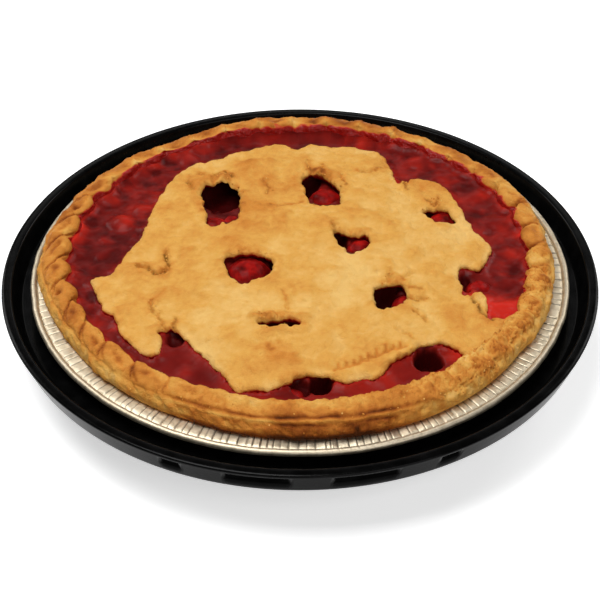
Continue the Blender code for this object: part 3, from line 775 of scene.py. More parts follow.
# There the crumbs of dough lie over one another like little leaves, with dark gaps between them.
leafy = np.clip(crushed + 0.85 * bump(turns, 347.0, 20.0) + 0.35 * bump(turns, 248.0, 16.0), 0.0, 1.0)
leaf_gap = wrinkles(along + 1.5 * step, 3.0 * step - 0.6 * along, 5.0, 22)
leaf_gap = np.maximum(leaf_gap, 0.8 * wrinkles(along - 2.0 * step, 3.0 * step + 0.7 * along, 4.0, 23))
leaf_gap *= leafy * smooth_step(0.8, 1.8, step) * smooth_step(7.3, 6.6, step)
# A dent is a slanting smudge of a fingertip at the sides, and a broad thumb print behind.
across = place - 0.35 * dent_aside[number] + (0.4 * turn[number] + 0.25 * side) * (step - 4.1)
dent = (1.05 + 0.6 * dent_depth[number]) * (1.0 - 0.5 * behind) * bump(across, 0.0, 0.3 + 0.1 * behind)
dent *= bump(step, 4.0 + 0.35 * dent_out[number] + 0.4 * behind, 0.48 + 0.4 * behind)
dent *= (0.3 + 0.7 * free) * (1.0 - 0.9 * leafy) * (0.75 + 0.5 * soft_noise(along, 3.0 * step, 2.6, 21))
# Each flute laps over the next one: it stands high by the one crease and slopes down to the other.
arc = np.abs(np.hypot(place, (step - 4.9) / 2.6) - 1.0) * HALF_PITCH
fold = groove(arc, 0.7) * inner * (1.0 - 0.8 * behind) * smooth_step(0.3, 0.85, np.abs(place))
crease = np.maximum(groove(away, 0.48) * inner * (1.0 - 0.6 * behind), fold)
crease *= (0.85 * free + 0.15) * (1.0 - 0.7 * crushed) * (1.0 - 0.6 * behind)
lap = -0.5 * place * smooth_step(2.4, 3.4, step) * smooth_step(7.4, 6.4, step) * free * (1.0 - crushed)
dome = np.clip(1.0 - place ** 2 - ((step - 4.9) / 2.6) ** 2, 0.0, 1.0)
pillow = (0.36 + 0.35 * swell[number]) * dome ** 0.6 * (1.0 - 1.4 * behind) + lap * (1.0 - 0.4 * behind)
# Behind, the flutes are petals: their edges stand up where two meet, and their middles are hollow.
petal = behind * bump(away, 0.0, 1.9) * smooth_step(3.2, 5.0, step) * smooth_step(7.4, 6.4, step)
pillow += 0.75 * petal
print(f"dents up to {dent.max():.2f} mm, petals up to {petal.max():.2f}")

# %% Folds, flakes and crumbled dough
seam_step = 2.35 + 0.15 * soft_noise(x, y, 14.0, 5)
seam = 0.5 * groove(step - seam_step, 0.14) * (0.3 + 0.7 * bump(turns, LEFT, 50.0))
front = 1.0 - smooth_step(30.0, 62.0, angle_between(turns, 275.0))
front_wall = 1.0 - smooth_step(12.0, 34.0, angle_between(turns, 268.0))
# Two folds run along the front wall, the upper one deep and long, with a thin lip of dough between them.
fold_line = np.interp(turns, *np.array(LONG_FOLD).T) + 0.07 * soft_noise(x, y, 6.0, 6)
fold_reach = smooth_step(238.0, 247.0, turns) * smooth_step(300.0, 289.0, turns)
long_fold = groove(step - fold_line, 0.3) * fold_reach * (0.85 + 0.25 * soft_noise(along, step, 5.0, 13))
low_fold = groove(step - fold_line + 1.05 + 0.15 * soft_noise(x, y, 7.0, 7), 0.2) * fold_reach
low_fold *= np.clip(0.55 + 0.8 * soft_noise(along, step, 6.0, 18), 0.0, 1.0)
thin_lip = bump(step, fold_line - 0.52, 0.17) * fold_reach
ledges = 0.7 * long_fold + 0.5 * low_fold
flakes = soft_noise(along, 1.2 * step, 2.0, 19) * smooth_step(2.2, 1.5, step) * smooth_step(0.1, 0.5, step)
crumbly = (0.35 + 0.8 * bump(turns, 312.0, 28.0) + 0.4 * front) * smooth_step(0.2, 1.0, step)
relief = 0.55 * soft_noise(x + 0.8 * z, y - 0.7 * z, 7.0, 8) + 0.24 * soft_noise(x + 1.1 * z, y + z, 2.8, 9)
relief += crumbly * 0.3 * soft_noise(x + 1.3 * z, y - 1.2 * z, 1.6, 10)
relief += (1.0 - free) * 0.5 * soft_noise(along, 3.0 * step, 5.0, 26) * smooth_step(2.8, 3.8, step)
relief += leafy * smooth_step(0.8, 2.0, step) * 0.7 * soft_noise(along, 3.0 * step, 4.0, 24) - 0.8 * leaf_gap
wrinkled = wrinkles(x + 0.9 * z, y - 0.8 * z, 5.5, 15) + 0.7 * wrinkles(x - 0.9 * z, y + z, 3.0, 16)
wrinkled *= smooth_step(-0.3, 0.6, soft_noise(x, y, 13.0, 17)) * smooth_step(0.3, 1.5, step)
relief -= 0.34 * wrinkled
print(f"unevenness from {relief.min():.2f} to {relief.max():.2f} mm")

# %% Shaping the rim
depth = relief + pillow * free - dent - 0.8 * crease - seam - ledges + 0.4 * thin_lip + 0.3 * flakes
edge_fade = smooth_step(0.0, 0.4, step) * smooth_step(8.0, 7.5, step)
rim += grid_normals(rim) * (depth * edge_fade)[..., None]
pushed = np.interp(turns, *np.array(PUSHED_IN).T) * smooth_step(6.4, 4.4, step)
rear = 1.0 - smooth_step(60.0, 95.0, angle_between(turns, BACK))
rim[..., :2] *= (1.0 - pushed * (1.0 - 0.35 * rear) / np.hypot(x, y))[..., None]
# The crest sags behind, most in two places where the dough was thin.
sag = 1.3 * bump(turns, 124.0, 7.0) + 0.7 * bump(turns, 50.0, 9.0) + 0.28 * rear * np.maximum(pushed, 0.0)
rim[..., 2] -= sag * smooth_step(1.0, 4.0, step) * smooth_step(7.0, 5.5, step)
x, y, z = np.moveaxis(rim, -1, 0)
grid[rim_rows] = rim
crust.data.vertices.foreach_set("co", (grid * MM).ravel())
print(f"rim from {z.min():.1f} to {z.max():.1f} mm high")

# %% [markdown]
# The same fields say how dark each place is painted. The oven browns what stands out and what was pressed
# thin, and the folds, creases and gaps get painted shade. They also say where the cherry gel ran up the
# flutes: to a shore line that rises at the back.

# %% Browning, painted shade and glaze of the rim
# The front wall is darker, partly browning and partly painted shade, as it faces the front, away from the
# overhead light, with a painted shadow at its foot by the foil. Its two folds, the gaps between the crumbs,
# the creases, the wrinkles and the seam get painted shade, and the dents are darker too. The thin lip between
# the folds is paler. The wall at the sides is painted paler: partly the dough's own cream, partly a painted
# lift of its shade.
wall = smooth_step(2.8, 1.5, step)
sides = bump(turns, 207.0, 30.0) + bump(turns, 322.0, 26.0)
# A thin line of painted shade down each crease.
line = groove(away, 0.45) * inner * free * (1.0 - behind) * (1.0 - 0.7 * leafy)
baked_and_shaded = 0.43 + 0.28 * np.clip(dent, 0, 1) + 0.2 * crease + 0.2 * line
baked_and_shaded += wall * (0.2 * front_wall - 0.2 * (1.0 - front_wall) * (1.0 - behind))
baked_and_shaded += 0.36 * leaf_gap
baked_and_shaded -= leafy * smooth_step(0.8, 2.0, step) * (0.07 + 0.1 * soft_noise(along, 3.0 * step, 1.8, 25))
baked_and_shaded += 0.45 * front_wall * smooth_step(1.2, 0.2, step) + 0.45 * long_fold + 0.3 * low_fold
baked_and_shaded += 0.1 * flakes + 0.08 * wrinkled + 0.16 * seam - 0.12 * thin_lip
baked_and_shaded += 0.06 * bump(turns, BACK, 60.0) - 0.12 * bump(turns, 2.0, 26.0) * smooth_step(4.6, 3.6, step)
baked_and_shaded += 0.1 * relief + 0.1 * soft_noise(x, y, 11.0, 14) - 0.12 * bump(step, 5.0, 0.8)
baked_and_shaded += 0.15 * sides * (1.0 - 0.8 * leafy) * bump(step, 5.1, 1.1)
baked_and_shaded += 0.05 * bump(turns, 235.0, 50.0) * bump(step, 3.8, 0.8)
baked_and_shaded += 0.12 * behind * bump(place, 0.0, 0.5) * bump(step, 4.6, 1.4) - 0.22 * petal
# The gel ran up the inside of the flutes at the back and sides, unevenly.
shore = 38.6 + 0.9 * soft_noise(x, y, 5.0, 12) - 2.2 * front - 2.2 * bump(turns, 205.0, 30.0)
shore += 0.7 * bump(turns, 125.0, 25.0) + 0.5 * behind - 0.5 * groove(away, 2.0) * free
shore += rear * (1.1 - 2.2 * np.abs(place)) * (0.7 + 0.3 * swell[number])
glazed = smooth_step(0.8, -0.6, z - shore) * smooth_step(4.8, 5.6, step)
# Behind, the glazed wall alternates lighter and darker from flute to flute: painted light and shade on its
# facets, which face different ways.
baked_and_shaded += behind * glazed * 0.7 * (0.4 - bump(place, 0.15, 0.4))
for name, values, shell_value in (("baked_and_shaded", baked_and_shaded, 0.4), ("glazed", glazed, 0.0)):
    painted = np.full(grid.shape[:2], shell_value)
    painted[rim_rows] = values
    paint(crust.data, {name: painted})
for name in marks:
    crust.data.attributes.remove(crust.data.attributes[name])
close_up(crust)
print(f"baked from {baked_and_shaded.min():.2f} to {baked_and_shaded.max():.2f}, glazed over {glazed.mean():.0%} of the rim")

# %% [markdown]
# The top crust is a thin sheet of rolled dough that shrank back as it baked, so its outline is ragged, with
# soft thick lips, and steam vents were cut through it. A ragged sheet with holes has no rule to follow, so
# its faces come from a constrained Delaunay triangulation: outline and vents are edges that must be kept,
# rings of points just inside them carry the rounded lip, and a fine grid fills the rest.

# %% Loop helpers


def points_inside(spots, loop):
    """Which points lie inside a closed loop, by counting crossings."""
    inside = np.zeros(len(spots), bool)
    x, y = spots[:, 0], spots[:, 1]
    for (ax, ay), (bx, by) in zip(loop, np.roll(loop, -1, axis=0)):
        if ay != by:
            inside ^= ((ay > y) != (by > y)) & (x < ax + (y - ay) * (bx - ax) / (by - ay))
    return inside


def resample(loop, spacing):
    """A closed loop's points at even distances of about spacing."""
    ends = np.vstack([loop, loop[:1]])
    run = np.concatenate([[0.0], np.cumsum(np.linalg.norm(np.diff(ends, axis=0), axis=1))])
    count = int(round(run[-1] / spacing))
    stops = np.linspace(0.0, run[-1], count, endpoint=False)
    return np.stack([np.interp(stops, run, ends[:, axis]) for axis in (0, 1)], axis=1)


def loop_normals(loop):
    """Unit vectors to the right of each step of a loop, which is outwards for an anticlockwise one."""
    way = np.roll(loop, -1, axis=0) - np.roll(loop, 1, axis=0)
    way /= np.linalg.norm(way, axis=1, keepdims=True)
    return np.stack([way[:, 1], -way[:, 0]], axis=1)


square = np.array([(0.0, 0.0), (9.0, 0.0), (9.0, 9.0), (0.0, 9.0)])
print("a 9 mm square in steps of 1 mm:", len(resample(square, 1.0)), "points")

# %% Sheet helpers


def nearest(points, spots):
    """The number and the distance of the point that lies nearest to each spot."""
    tree = KDTree(len(points))
    for index, (x, y) in enumerate(points):
        tree.insert((x, y, 0.0), index)
    tree.balance()
    found = [tree.find((x, y, 0.0)) for x, y in spots]
    return [index for _, index, _ in found], np.array([distance for _, _, distance in found])


def distance_to(spots, loops, spacing=0.15):
    """The distance of each point from the nearest of the loops."""
    return nearest(np.vstack([resample(loop, spacing) for loop in loops]), spots)[1]


def on_sheet(spots, outline, holes):
    """Which points lie inside an outline and outside all holes."""
    inside = points_inside(spots, outline)
    for hole in holes:
        inside &= ~points_inside(spots, hole)
    return inside


def flat_sheet(outline, holes, inner):
    """Points and triangles of the area inside an outline and outside holes; inner points are kept apart."""
    loops = [outline, *holes]
    spots = np.vstack([*loops, inner])
    edges, start = [], 0
    for loop in loops:
        edges += [(start + index, start + (index + 1) % len(loop)) for index in range(len(loop))]
        start += len(loop)
    made, _, faces, *_ = delaunay_2d_cdt([Vector(spot) for spot in spots], edges, [], 0, 1e-4)
    made, faces = np.array([tuple(spot) for spot in made]), np.array(faces)
    return made, faces[on_sheet(made[faces].mean(axis=1), outline, holes)]


def hex_grid(reach, spacing, seed):
    """A triangular grid of points out to reach from the axis, each moved a little at random."""
    count = int(reach / spacing) + 2
    column, row = np.meshgrid(np.arange(-count, count + 1), np.arange(-count, count + 1))
    spots = np.stack([(column + 0.5 * (row % 2)) * spacing, row * spacing * 0.87], axis=-1).reshape(-1, 2)
    spots += np.random.default_rng(seed).uniform(-0.22, 0.22, spots.shape) * spacing
    return spots[np.hypot(*spots.T) < reach]


print("grid test:", len(hex_grid(10.0, 1.0, 0)), "points")

# %% Outline and vents of the top crust
LID_THICKNESS = 2.4
LID_EDGE = GEL_LEVEL + 0.3 + LID_THICKNESS
LID_RISE = 3.0
LID_RADIUS = 88.0
LID_OUTLINE = (
    (82, 3), (76, 18), (70, 37), (64, 50), (55, 55), (51, 54), (49, 51), (47, 53), (45, 50), (43, 55),
    (42, 63), (37, 78), (28, 82), (16, 83), (5, 84), (-2, 80), (-10, 85), (-30, 79), (-38, 72), (-52, 67),
    (-62, 46), (-65, 33), (-67, 20), (-69, 10), (-74, -2), (-77, -11), (-79, -15), (-86, -17), (-87, -20),
    (-82, -32), (-80, -38), (-76, -42), (-73, -49), (-70, -55), (-62, -64), (-58, -66), (-55, -64),
    (-55, -58), (-57, -53), (-53, -51), (-50, -52), (-46, -56), (-41, -63), (-36, -69), (-31, -76),
    (-28, -81), (-24, -86), (-10, -85), (-5, -83), (-2, -80), (4, -78), (10, -78), (14, -81), (20, -81),
    (25, -79), (30, -79), (34, -74), (38, -69), (44, -65), (47, -61), (51, -59), (57, -59), (61, -62),
    (65, -67), (70, -71), (82, -60), (91, -46), (80, -44), (76, -43), (77, -34), (76, -28), (73, -27),
    (70, -29), (67, -28), (68, -23), (66, -19), (67, -11), (70, -10), (75, -12), (78, -8), (81, -2),
)
# name, outline, and how ruffled the lip on the far side is
VENTS = (
    ("back left", ((-38, 17), (-41, 21), (-42, 30), (-44.5, 42), (-43.5, 50), (-40, 50.5), (-37, 53),
                   (-33, 53), (-30, 48), (-27.5, 45), (-27, 36), (-26.5, 27), (-28, 22), (-30, 20.5),
                   (-32, 18.5), (-34, 20)), 1.0),
    ("back", ((4, 59), (1, 54), (1, 49), (3, 41), (5, 33.5), (9, 32.5), (13, 31.5), (17, 33), (18, 38),
              (17.5, 46), (15, 50), (11, 56)), 1.0),
    ("left", ((-32, -6), (-28, -5), (-22, -3.6), (-17, -4.1), (-13, -7), (-11, -12), (-12, -16), (-14, -20),
              (-18, -21), (-23, -23.6), (-27, -22), (-30, -19), (-31, -14), (-32.5, -10)), 0.6),
    ("middle", ((15, 12), (16, 4), (19, 1), (22, -3.5), (24, -1), (28, 0), (30, 3), (30, 6), (28, 10),
                (24, 9), (20, 10)), 0.5),
    ("right", ((54.5, 28.5), (56, 31), (60, 30.5), (66, 31), (67, 27), (68.5, 22.5), (64, 22), (60, 21.5),
               (57, 24)), 0.4),
    ("front right", ((30, -27), (32, -25.5), (36, -24.5), (41, -24), (43, -26.5), (44, -30.5), (43, -34.5),
                     (41, -37.5), (36, -39.5), (33, -40.5), (31, -38.5), (30.5, -35), (29.5, -32)), 0.7),
    ("front slit", ((-17, -48), (-13, -47.4), (-9, -47.4), (-4, -47), (-1, -48), (0.5, -50), (-3, -51.8),
                    (-6, -51), (-10, -52.3), (-13, -51), (-16, -50)), 0.8),
)
LIP_SPACING = 0.5


def ragged_loop(stops, coarse, fine, seed):
    """An anticlockwise torn edge through the stops: bites of 4 mm, coarse deep, and crumbs, fine deep."""
    loop = resample(spline(stops, 12, closed=True), LIP_SPACING)
    x, y = loop.T
    if np.sum(x * np.roll(y, -1) - y * np.roll(x, -1)) < 0:
        loop, x, y = loop[::-1], x[::-1], y[::-1]
    tear = coarse * soft_noise(x, y, 4.0, seed) + fine * soft_noise(x, y, 1.4, seed + 1, 1)
    return loop + loop_normals(loop) * tear[:, None]


outline = ragged_loop(LID_OUTLINE, 0.4, 0.28, 20)
vents = [ragged_loop(stops, 0.35, 0.4, 60 + 2 * index) for index, (_, stops, _) in enumerate(VENTS)]
print(f"outline {len(outline)} points, vents {sum(len(loop) for loop in vents)} points")

# %% Folds and cracks of the top crust
# Lines of the dough: points, height over the sheet and half width. Folds stand up, cracks go down.
DOUGH_LINES = (
    (((-58, -1), (-56.5, -6), (-56, -12), (-57, -17)), -1.2, 0.75),
    (((-69, -10), (-64, -13), (-60, -16), (-57, -15)), -1.2, 0.85),
    (((-61, -33), (-60, -40), (-56, -47), (-53, -52)), -0.7, 0.6),
    (((-50, -45), (-50, -53)), -0.9, 0.6),
    (((-34, 60), (-31, 55)), -0.9, 0.7),
    (((-51, 55), (-49, 46)), -0.9, 0.8),
    (((-46, 59), (-41, 57), (-37, 58)), -0.6, 0.9),
    (((-17, 52), (-14, 46), (-15, 41)), -0.7, 0.6),
    (((-13, 33), (-6, 32), (1, 34.5)), -0.45, 0.7),
    (((4, 69), (5, 60)), -0.8, 0.9),
    (((10, 65), (10, 58)), -0.8, 0.7),
    (((19, 56), (21, 47)), -0.6, 0.7),
    (((26, 60), (32, 60), (40, 65)), -0.55, 1.0),
    (((57, 37), (60, 32)), -0.8, 0.7),
    (((62, 39), (61, 34)), -0.6, 0.6),
    (((14, 18), (15, 11)), -0.8, 0.7),
    (((44.5, -28), (47, -27), (50, -27.5)), -0.5, 0.9),
    (((44.5, -32.5), (47, -33.5), (51, -33)), -0.6, 0.8),
    (((42, -22.5), (44, -19), (47, -17.5)), -0.4, 0.9),
    (((38, -16), (36, -23)), -0.7, 1.2),
    (((46, -41), (50, -47)), -0.6, 0.6),
    (((-7, -29), (-5, -43)), -0.4, 0.7),
    (((70, -30), (73, -36), (74, -41), (78, -45)), -1.1, 0.8),
    (((-16, -42), (-14, -47)), -0.6, 1.4),
    (((45, -57), (40, -52)), -0.5, 0.8),
    (((47, 52), (48, 46)), -0.8, 0.8),
    (((3, 62), (9, 61), (17, 57)), 0.6, 1.4),
    (((-47, 40), (-47, 50), (-40, 57), (-29, 56)), 0.6, 1.6),
    (((-19, -45.5), (-8, -45), (3, -46)), 0.8, 1.3),
    (((-19, -54), (-8, -54.5), (3, -53)), 0.5, 1.4),
    (((14, -78), (21, -76.5), (29, -73.5), (37, -69.5), (44, -64.5)), 0.8, 1.1),
    (((18, 62), (30, 66), (42, 70)), 0.55, 2.2),
    (((-60, -50), (-50, -48), (-42, -52)), 0.6, 1.6),
    (((30, 20), (45, 16), (60, 14)), 0.4, 2.5),
)
print(sum(height > 0 for _, height, _ in DOUGH_LINES), "folds and",
      sum(height < 0 for _, height, _ in DOUGH_LINES), "cracks")

# %% Browned stretches and tucks of the top crust
# Stretches that browned more or less: centre x and y, reach and how much
HOT_SPOTS = (
    (-28, 28, 26, 0.2), (-14, 54, 18, 0.10), (-48, 52, 14, 0.08), (-66, -34, 22, 0.12),
    (-50, -60, 16, 0.08), (-12, -82, 20, 0.17), (24, -76, 22, 0.12), (74, -52, 16, 0.10),
    (62, -42, 9, 0.08), (42, 46, 11, 0.08), (56, 18, 14, 0.04), (-30, 0, 20, 0.05), (62, 58, 12, 0.05),
    (-38, -66, 8, -0.08), (37, -75, 7, -0.12), (24, -80, 6, -0.12), (-30, -55, 16, -0.07),
    (56, 42, 12, 0.08), (70, -42, 12, 0.07), (-62, -48, 14, 0.09), (-10, 40, 12, 0.06),
    (42, -14, 9, -0.09), (0, -42, 9, -0.08), (-58, 28, 14, 0.08), (64, -28, 12, 0.05),
    (-84, -26, 10, 0.08), (62, 44, 14, 0.06), (-70, 0, 12, 0.05), (50, -64, 10, 0.08),
)
BLISTER = ((-12, -63, 5.0, 0.22),)  # a small burnt one, in the same terms
# Above the front gap the dough was tucked in: a scalloped fold, and little pleats that run up from it.
SCALLOPS = tuple((13.5 + 1.55 * index + 0.45 * sin(2.6 * index),
                  -75.6 + 0.55 * index + 0.012 * index ** 2 + (0.7 + 0.3 * sin(index)) * (index % 2))
                 for index in range(19))
TUCKS = (
    (SCALLOPS, -0.9, 0.7),
    *((((x, y), (x - 0.4, y + 3.0 + 1.4 * sin(2.3 * x))), -0.5 - 0.2 * sin(1.7 * x), 0.55)
      for x, y in SCALLOPS[1::2]),
)
print(len(HOT_SPOTS), "browned stretches,", len(TUCKS) - 1, "little pleats")

# %% Relief of the top crust


def lid_height(x, y):
    """Height of the sheet's upper face, a low dome with soft waves."""
    radius = np.hypot(x, y)
    dome = LID_RISE * np.maximum(0.0, 1.0 - (radius / LID_RADIUS) ** 2)
    fade = 1.0 - smooth_step(60.0, LID_RADIUS, radius)
    return LID_EDGE + dome + 0.45 * np.sin(x / 13.0 + 0.6) * np.sin(y / 11.0 - 0.4) * fade


def line_field(x, y, stops, width, rough=0.6):
    """1 on a jagged line through the stops, rough mm off it here and there, falling to 0 beside it."""
    stops = spline(stops, 12)
    stops = stops + rough * np.stack([soft_noise(*stops.T, 2.2, 31), soft_noise(*stops.T, 2.2, 32)], axis=1)
    low, high = stops.min(axis=0) - 4.0 * width, stops.max(axis=0) + 4.0 * width
    close = np.flatnonzero((x > low[0]) & (x < high[0]) & (y > low[1]) & (y < high[1]))
    field, px, py = np.zeros(np.shape(x)), x[close], y[close]
    gap = np.full(len(close), 1e9)
    for (ax, ay), (bx, by) in zip(stops, stops[1:]):
        along = np.clip(((px - ax) * (bx - ax) + (py - ay) * (by - ay))
                        / ((bx - ax) ** 2 + (by - ay) ** 2), 0, 1)
        gap = np.minimum(gap, np.hypot(px - ax - along * (bx - ax), py - ay - along * (by - ay)))
    field[close] = np.exp(-(gap / width) ** 2)
    return field


def pleats(angle, away):
    """Small folds 3 mm apart that run out from a vent, from -1 to 1."""
    return soft_noise(9.0 * angle, 0.35 * away, 1.7, 33)


def around_vent(x, y, stops, loop):
    """The direction from a vent's middle, the distance from its edge, and how far round on its far side."""
    centre = np.mean(stops, axis=0)
    angle = np.arctan2(y - centre[1], x - centre[0])
    far_side = 0.35 + 0.65 * (0.5 + 0.5 * np.sin(angle))
    return angle, distance_to(np.stack([x, y], axis=1), [loop]), far_side


def lid_relief(x, y):
    """The dough's unevenness: waves, blisters, ruffled vent lips, folds and cracks."""
    relief = 0.6 * soft_noise(x, y, 15.0, 22) + 0.45 * soft_noise(x, y, 6.5, 23)
    relief += 0.3 * soft_noise(x, y, 2.8, 24)
    relief -= 0.28 * wrinkles(x, y, 9.0, 36) * smooth_step(0.0, 0.7, soft_noise(x, y, 15.0, 37))
    for (_, stops, ruffle), loop in zip(VENTS, vents):
        angle, away, far_side = around_vent(x, y, stops, loop)
        relief += ruffle * far_side * 0.5 * bump(away, 2.4, 1.7)
        relief += ruffle * far_side * 0.6 * pleats(angle, away) * bump(away, 1.4, 2.4)
    for stops, height, width in DOUGH_LINES:
        line = line_field(x, y, stops, 1.2 * width)
        if height < 0:
            # A crack opens and closes along its way, and its lips curl up.
            line *= 0.75 + 0.4 * soft_noise(x, y, 2.2, 38)
            curl = 0.45 + 0.4 * soft_noise(x, y, 1.5, 39)
            line -= line_field(x, y, stops, 3.4 * width) * (1.0 - line) * curl
        relief += height * line
    for stops, height, width in TUCKS:
        relief += height * line_field(x, y, stops, 1.7 * width, 0.15)
    return relief


print("dome at the middle:", round(float(lid_height(0.0, 0.0)), 2), "mm")

# %% Top crust
LID_REACH = 96.0  # mm from the axis, beyond every point of the outline
LIP_WIDTH = 1.5  # how far in from the edge the lip begins to round off
LIP_DROP = 1.1
RINGS = (0.22, 0.55, 1.0, 1.5)  # mm inside the edge
GRID = 1.05
CRACK_GRID = 0.5
SIDE = ((0.15, 0.42), (0.1, 0.8), (-0.1, 1.2))  # how far the side stands out, and drops below the lip

loops = [outline, *vents]
rings = []
for ring in RINGS:
    rings.append(outline - loop_normals(outline) * ring)
    rings += [loop + loop_normals(loop) * ring for loop in vents]
spots = np.vstack(rings)
wanted = np.repeat(RINGS, sum(len(loop) for loop in loops))
inside = on_sheet(spots, outline, vents) & (distance_to(spots, loops) > 0.85 * wanted)
inner, close = hex_grid(LID_REACH, GRID, 25), hex_grid(LID_REACH, CRACK_GRID, 28)
crack_lines = [row for row in DOUGH_LINES if row[1] < 0]
cracks = sum(line_field(*close.T, stops, width * 1.5) for stops, height, width in (*crack_lines, *TUCKS))
inner = np.vstack([inner, close[cracks > 0.25]])
inner = inner[on_sheet(inner, outline, vents)]
inner = inner[distance_to(inner, loops) > RINGS[-1] + 0.4]
flat, faces = flat_sheet(outline, vents, np.vstack([spots[inside], inner]))
x, y = flat.T
edge_away = distance_to(flat, loops)
vent_away = distance_to(flat, vents)
lip = LIP_DROP * (1.0 - np.sqrt(1.0 - (1.0 - np.minimum(edge_away / LIP_WIDTH, 1.0)) ** 2))
relief = lid_relief(x, y)
top = lid_height(x, y) + relief - lip
under = lid_height(x, y) - LID_THICKNESS
print(f"upper face: {len(flat)} points, relief from {relief.min():.1f} to {relief.max():.1f} mm")

# %% Side of the top crust
# The side joins the edge of the upper face to the edge of the lower one, with two rows between.
count = len(flat)
pairs = np.concatenate([faces[:, [0, 1]], faces[:, [1, 2]], faces[:, [2, 0]]])
keys, backs = pairs[:, 0] * count + pairs[:, 1], pairs[:, 1] * count + pairs[:, 0]
rim_edges = pairs[~np.isin(keys, backs)]
rim_verts, slots = np.unique(rim_edges, return_inverse=True)
slots = slots.reshape(-1, 2)
way = np.zeros((len(rim_verts), 2))
direction = flat[rim_edges[:, 1]] - flat[rim_edges[:, 0]]
for end in (0, 1):
    np.add.at(way, slots[:, end], direction)
way /= np.maximum(np.linalg.norm(way, axis=1, keepdims=True), 1e-9)
outward = np.stack([way[:, 1], -way[:, 0]], axis=1)
edge_spots, edge_top, edge_under = flat[rim_verts], top[rim_verts], under[rim_verts]
points = [np.column_stack([flat, top]), np.column_stack([flat, under])]
# Gel seeped up the outer edge in places, and a little into the torn lips of the vents.
seep = 0.5 + 0.5 * soft_noise(x, y, 12.0, 29)
glazed = [0.08 * bump(vent_away, 0.0, 0.6) * seep + 0.2 * bump(edge_away, 0.0, 0.5) * (seep > 0.8),
          np.ones(count)]
for out, drop in SIDE[:-1]:
    points.append(np.column_stack([edge_spots + outward * out,
                                   np.maximum(edge_top - drop, edge_under + 0.1)]))
    glazed.append(np.clip(0.9 * drop - 0.45 + 0.9 * (seep[rim_verts] - 0.5), 0.0, 1.0))
rows = [rim_verts, 2 * count + np.arange(len(rim_verts)),
        2 * count + len(rim_verts) + np.arange(len(rim_verts)),
        count + rim_verts]
side = [
    (upper[a], lower[a], lower[b], upper[b]) for upper, lower in zip(rows, rows[1:]) for a, b in slots
]
faces_all = [*faces.tolist(), *(faces[:, ::-1] + count).tolist(), *side]
print("points along the edge:", len(rim_verts))

# %% Browning and painted shade of the top crust
# It is browned a little on the swells and over whole stretches where the oven was hot. The cracks, the
# tucks, the wrinkles and the hollows of the vents' ruffled lips get painted shade.
baked_and_shaded = 0.12 + 0.1 * relief + 0.05 * bump(edge_away, 1.2, 1.0) * soft_noise(x, y, 9.0, 26)
# Painted shade down the cracks and soft painted shade beside them; the deepest cracks are also mixed to olive
# brown.
core = sum(line_field(x, y, stops, width * 0.85) for stops, _, width in crack_lines)
round_it = sum(line_field(x, y, stops, width * 2.4) for stops, _, width in crack_lines)
deep_core = sum(height ** 2 * line_field(x, y, stops, width) for stops, height, width in crack_lines)
crack_shade = np.minimum(deep_core, 1.0) * np.clip(0.5 + 0.5 * soft_noise(x, y, 2.2, 34), 0.15, 0.9)
baked_and_shaded += 0.12 * np.minimum(core, 1.0) + np.minimum(round_it, 1.0) * (0.1 + 0.08 * soft_noise(x, y, 1.6, 39))
# Painted shade in the tucks above the front gap.
baked_and_shaded += 0.3 * np.minimum(sum(line_field(x, y, stops, 1.2 * width, 0.15) for stops, _, width in TUCKS), 1.0)
# Painted shade in the hollows between the little pleats of each vent's far lip.
for (_, stops, ruffle), loop in zip(VENTS, vents):
    angle, away, far_side = around_vent(x, y, stops, loop)
    folds = np.clip(-pleats(angle, away), 0.0, 1.0) * far_side
    baked_and_shaded += 0.34 * ruffle * folds * bump(away, 1.2, 2.2)
# Painted shade along the fine wrinkles of the dough.
baked_and_shaded += 0.12 * wrinkles(x, y, 9.0, 36) * smooth_step(0.0, 0.7, soft_noise(x, y, 15.0, 37))
baked_and_shaded += round_spots(x, y, BLISTER) * (0.5 + soft_noise(x, y, 3.0, 27))
baked_and_shaded += round_spots(x, y, HOT_SPOTS)
baked_and_shaded += 0.04 * bump(y, 88.0, 45.0) + 0.06 * soft_noise(x, y, 22.0, 35)
baked_and_shaded = np.concatenate([baked_and_shaded, np.full(count, 0.3), np.full(2 * len(rim_verts), 0.2)])
lid = make_object("vented_top_crust", np.vstack(points), faces_all, pastry,
                  {"baked_and_shaded": baked_and_shaded, "glazed": np.concatenate(glazed),
                   "crack_shade": np.concatenate([crack_shade, np.zeros(len(baked_and_shaded) - len(crack_shade))])})
close_up(lid, merge=0.001)
flat_lid = flat
print(f"top crust from {top.min():.1f} to {top.max():.1f} mm")

# %% [markdown]
# The filling is cherries in a starch-thickened gel. Where it shows, between the rim and the top crust and
# in the vents, it is a wet, wobbly surface: it climbs the dough at its edges, drapes over the cherries just
# below it, and it is bright red where it is thin. In the hollows and where it sank under the vents its colour
# is painted nearly black: painted shade. Light enters it and comes out again nearby, which is what subsurface
# scattering does.

# %% Cherry gel
gel, tree, shader = new_material("cherry_gel")
where = add_node(tree, "ShaderNodeTexCoord").outputs["Object"]
depth = add_node(tree, "ShaderNodeAttribute", attribute_name="deep").outputs["Fac"]
# Fruit pulp clouds the gel in streaks a centimetre long.
cloud = add_node(tree, "ShaderNodeTexNoise", {"Vector": where, "Scale": 1000 / 11.0, "Detail": 4.0})
mixed = add_node(tree, "ShaderNodeMath", {0: cloud, 1: 0.3, 2: depth}, operation="MULTIPLY_ADD")
mixed = add_node(tree, "ShaderNodeMath", {0: mixed, 1: 0.15}, operation="SUBTRACT")
tint = add_node(tree, "ShaderNodeValToRGB", {"Fac": mixed}, stops=(
    (0.0, "#cf2c20"), (0.3, "#a02117"), (0.55, "#781814"), (0.8, "#500c0a"), (1.0, "#3e0606")))
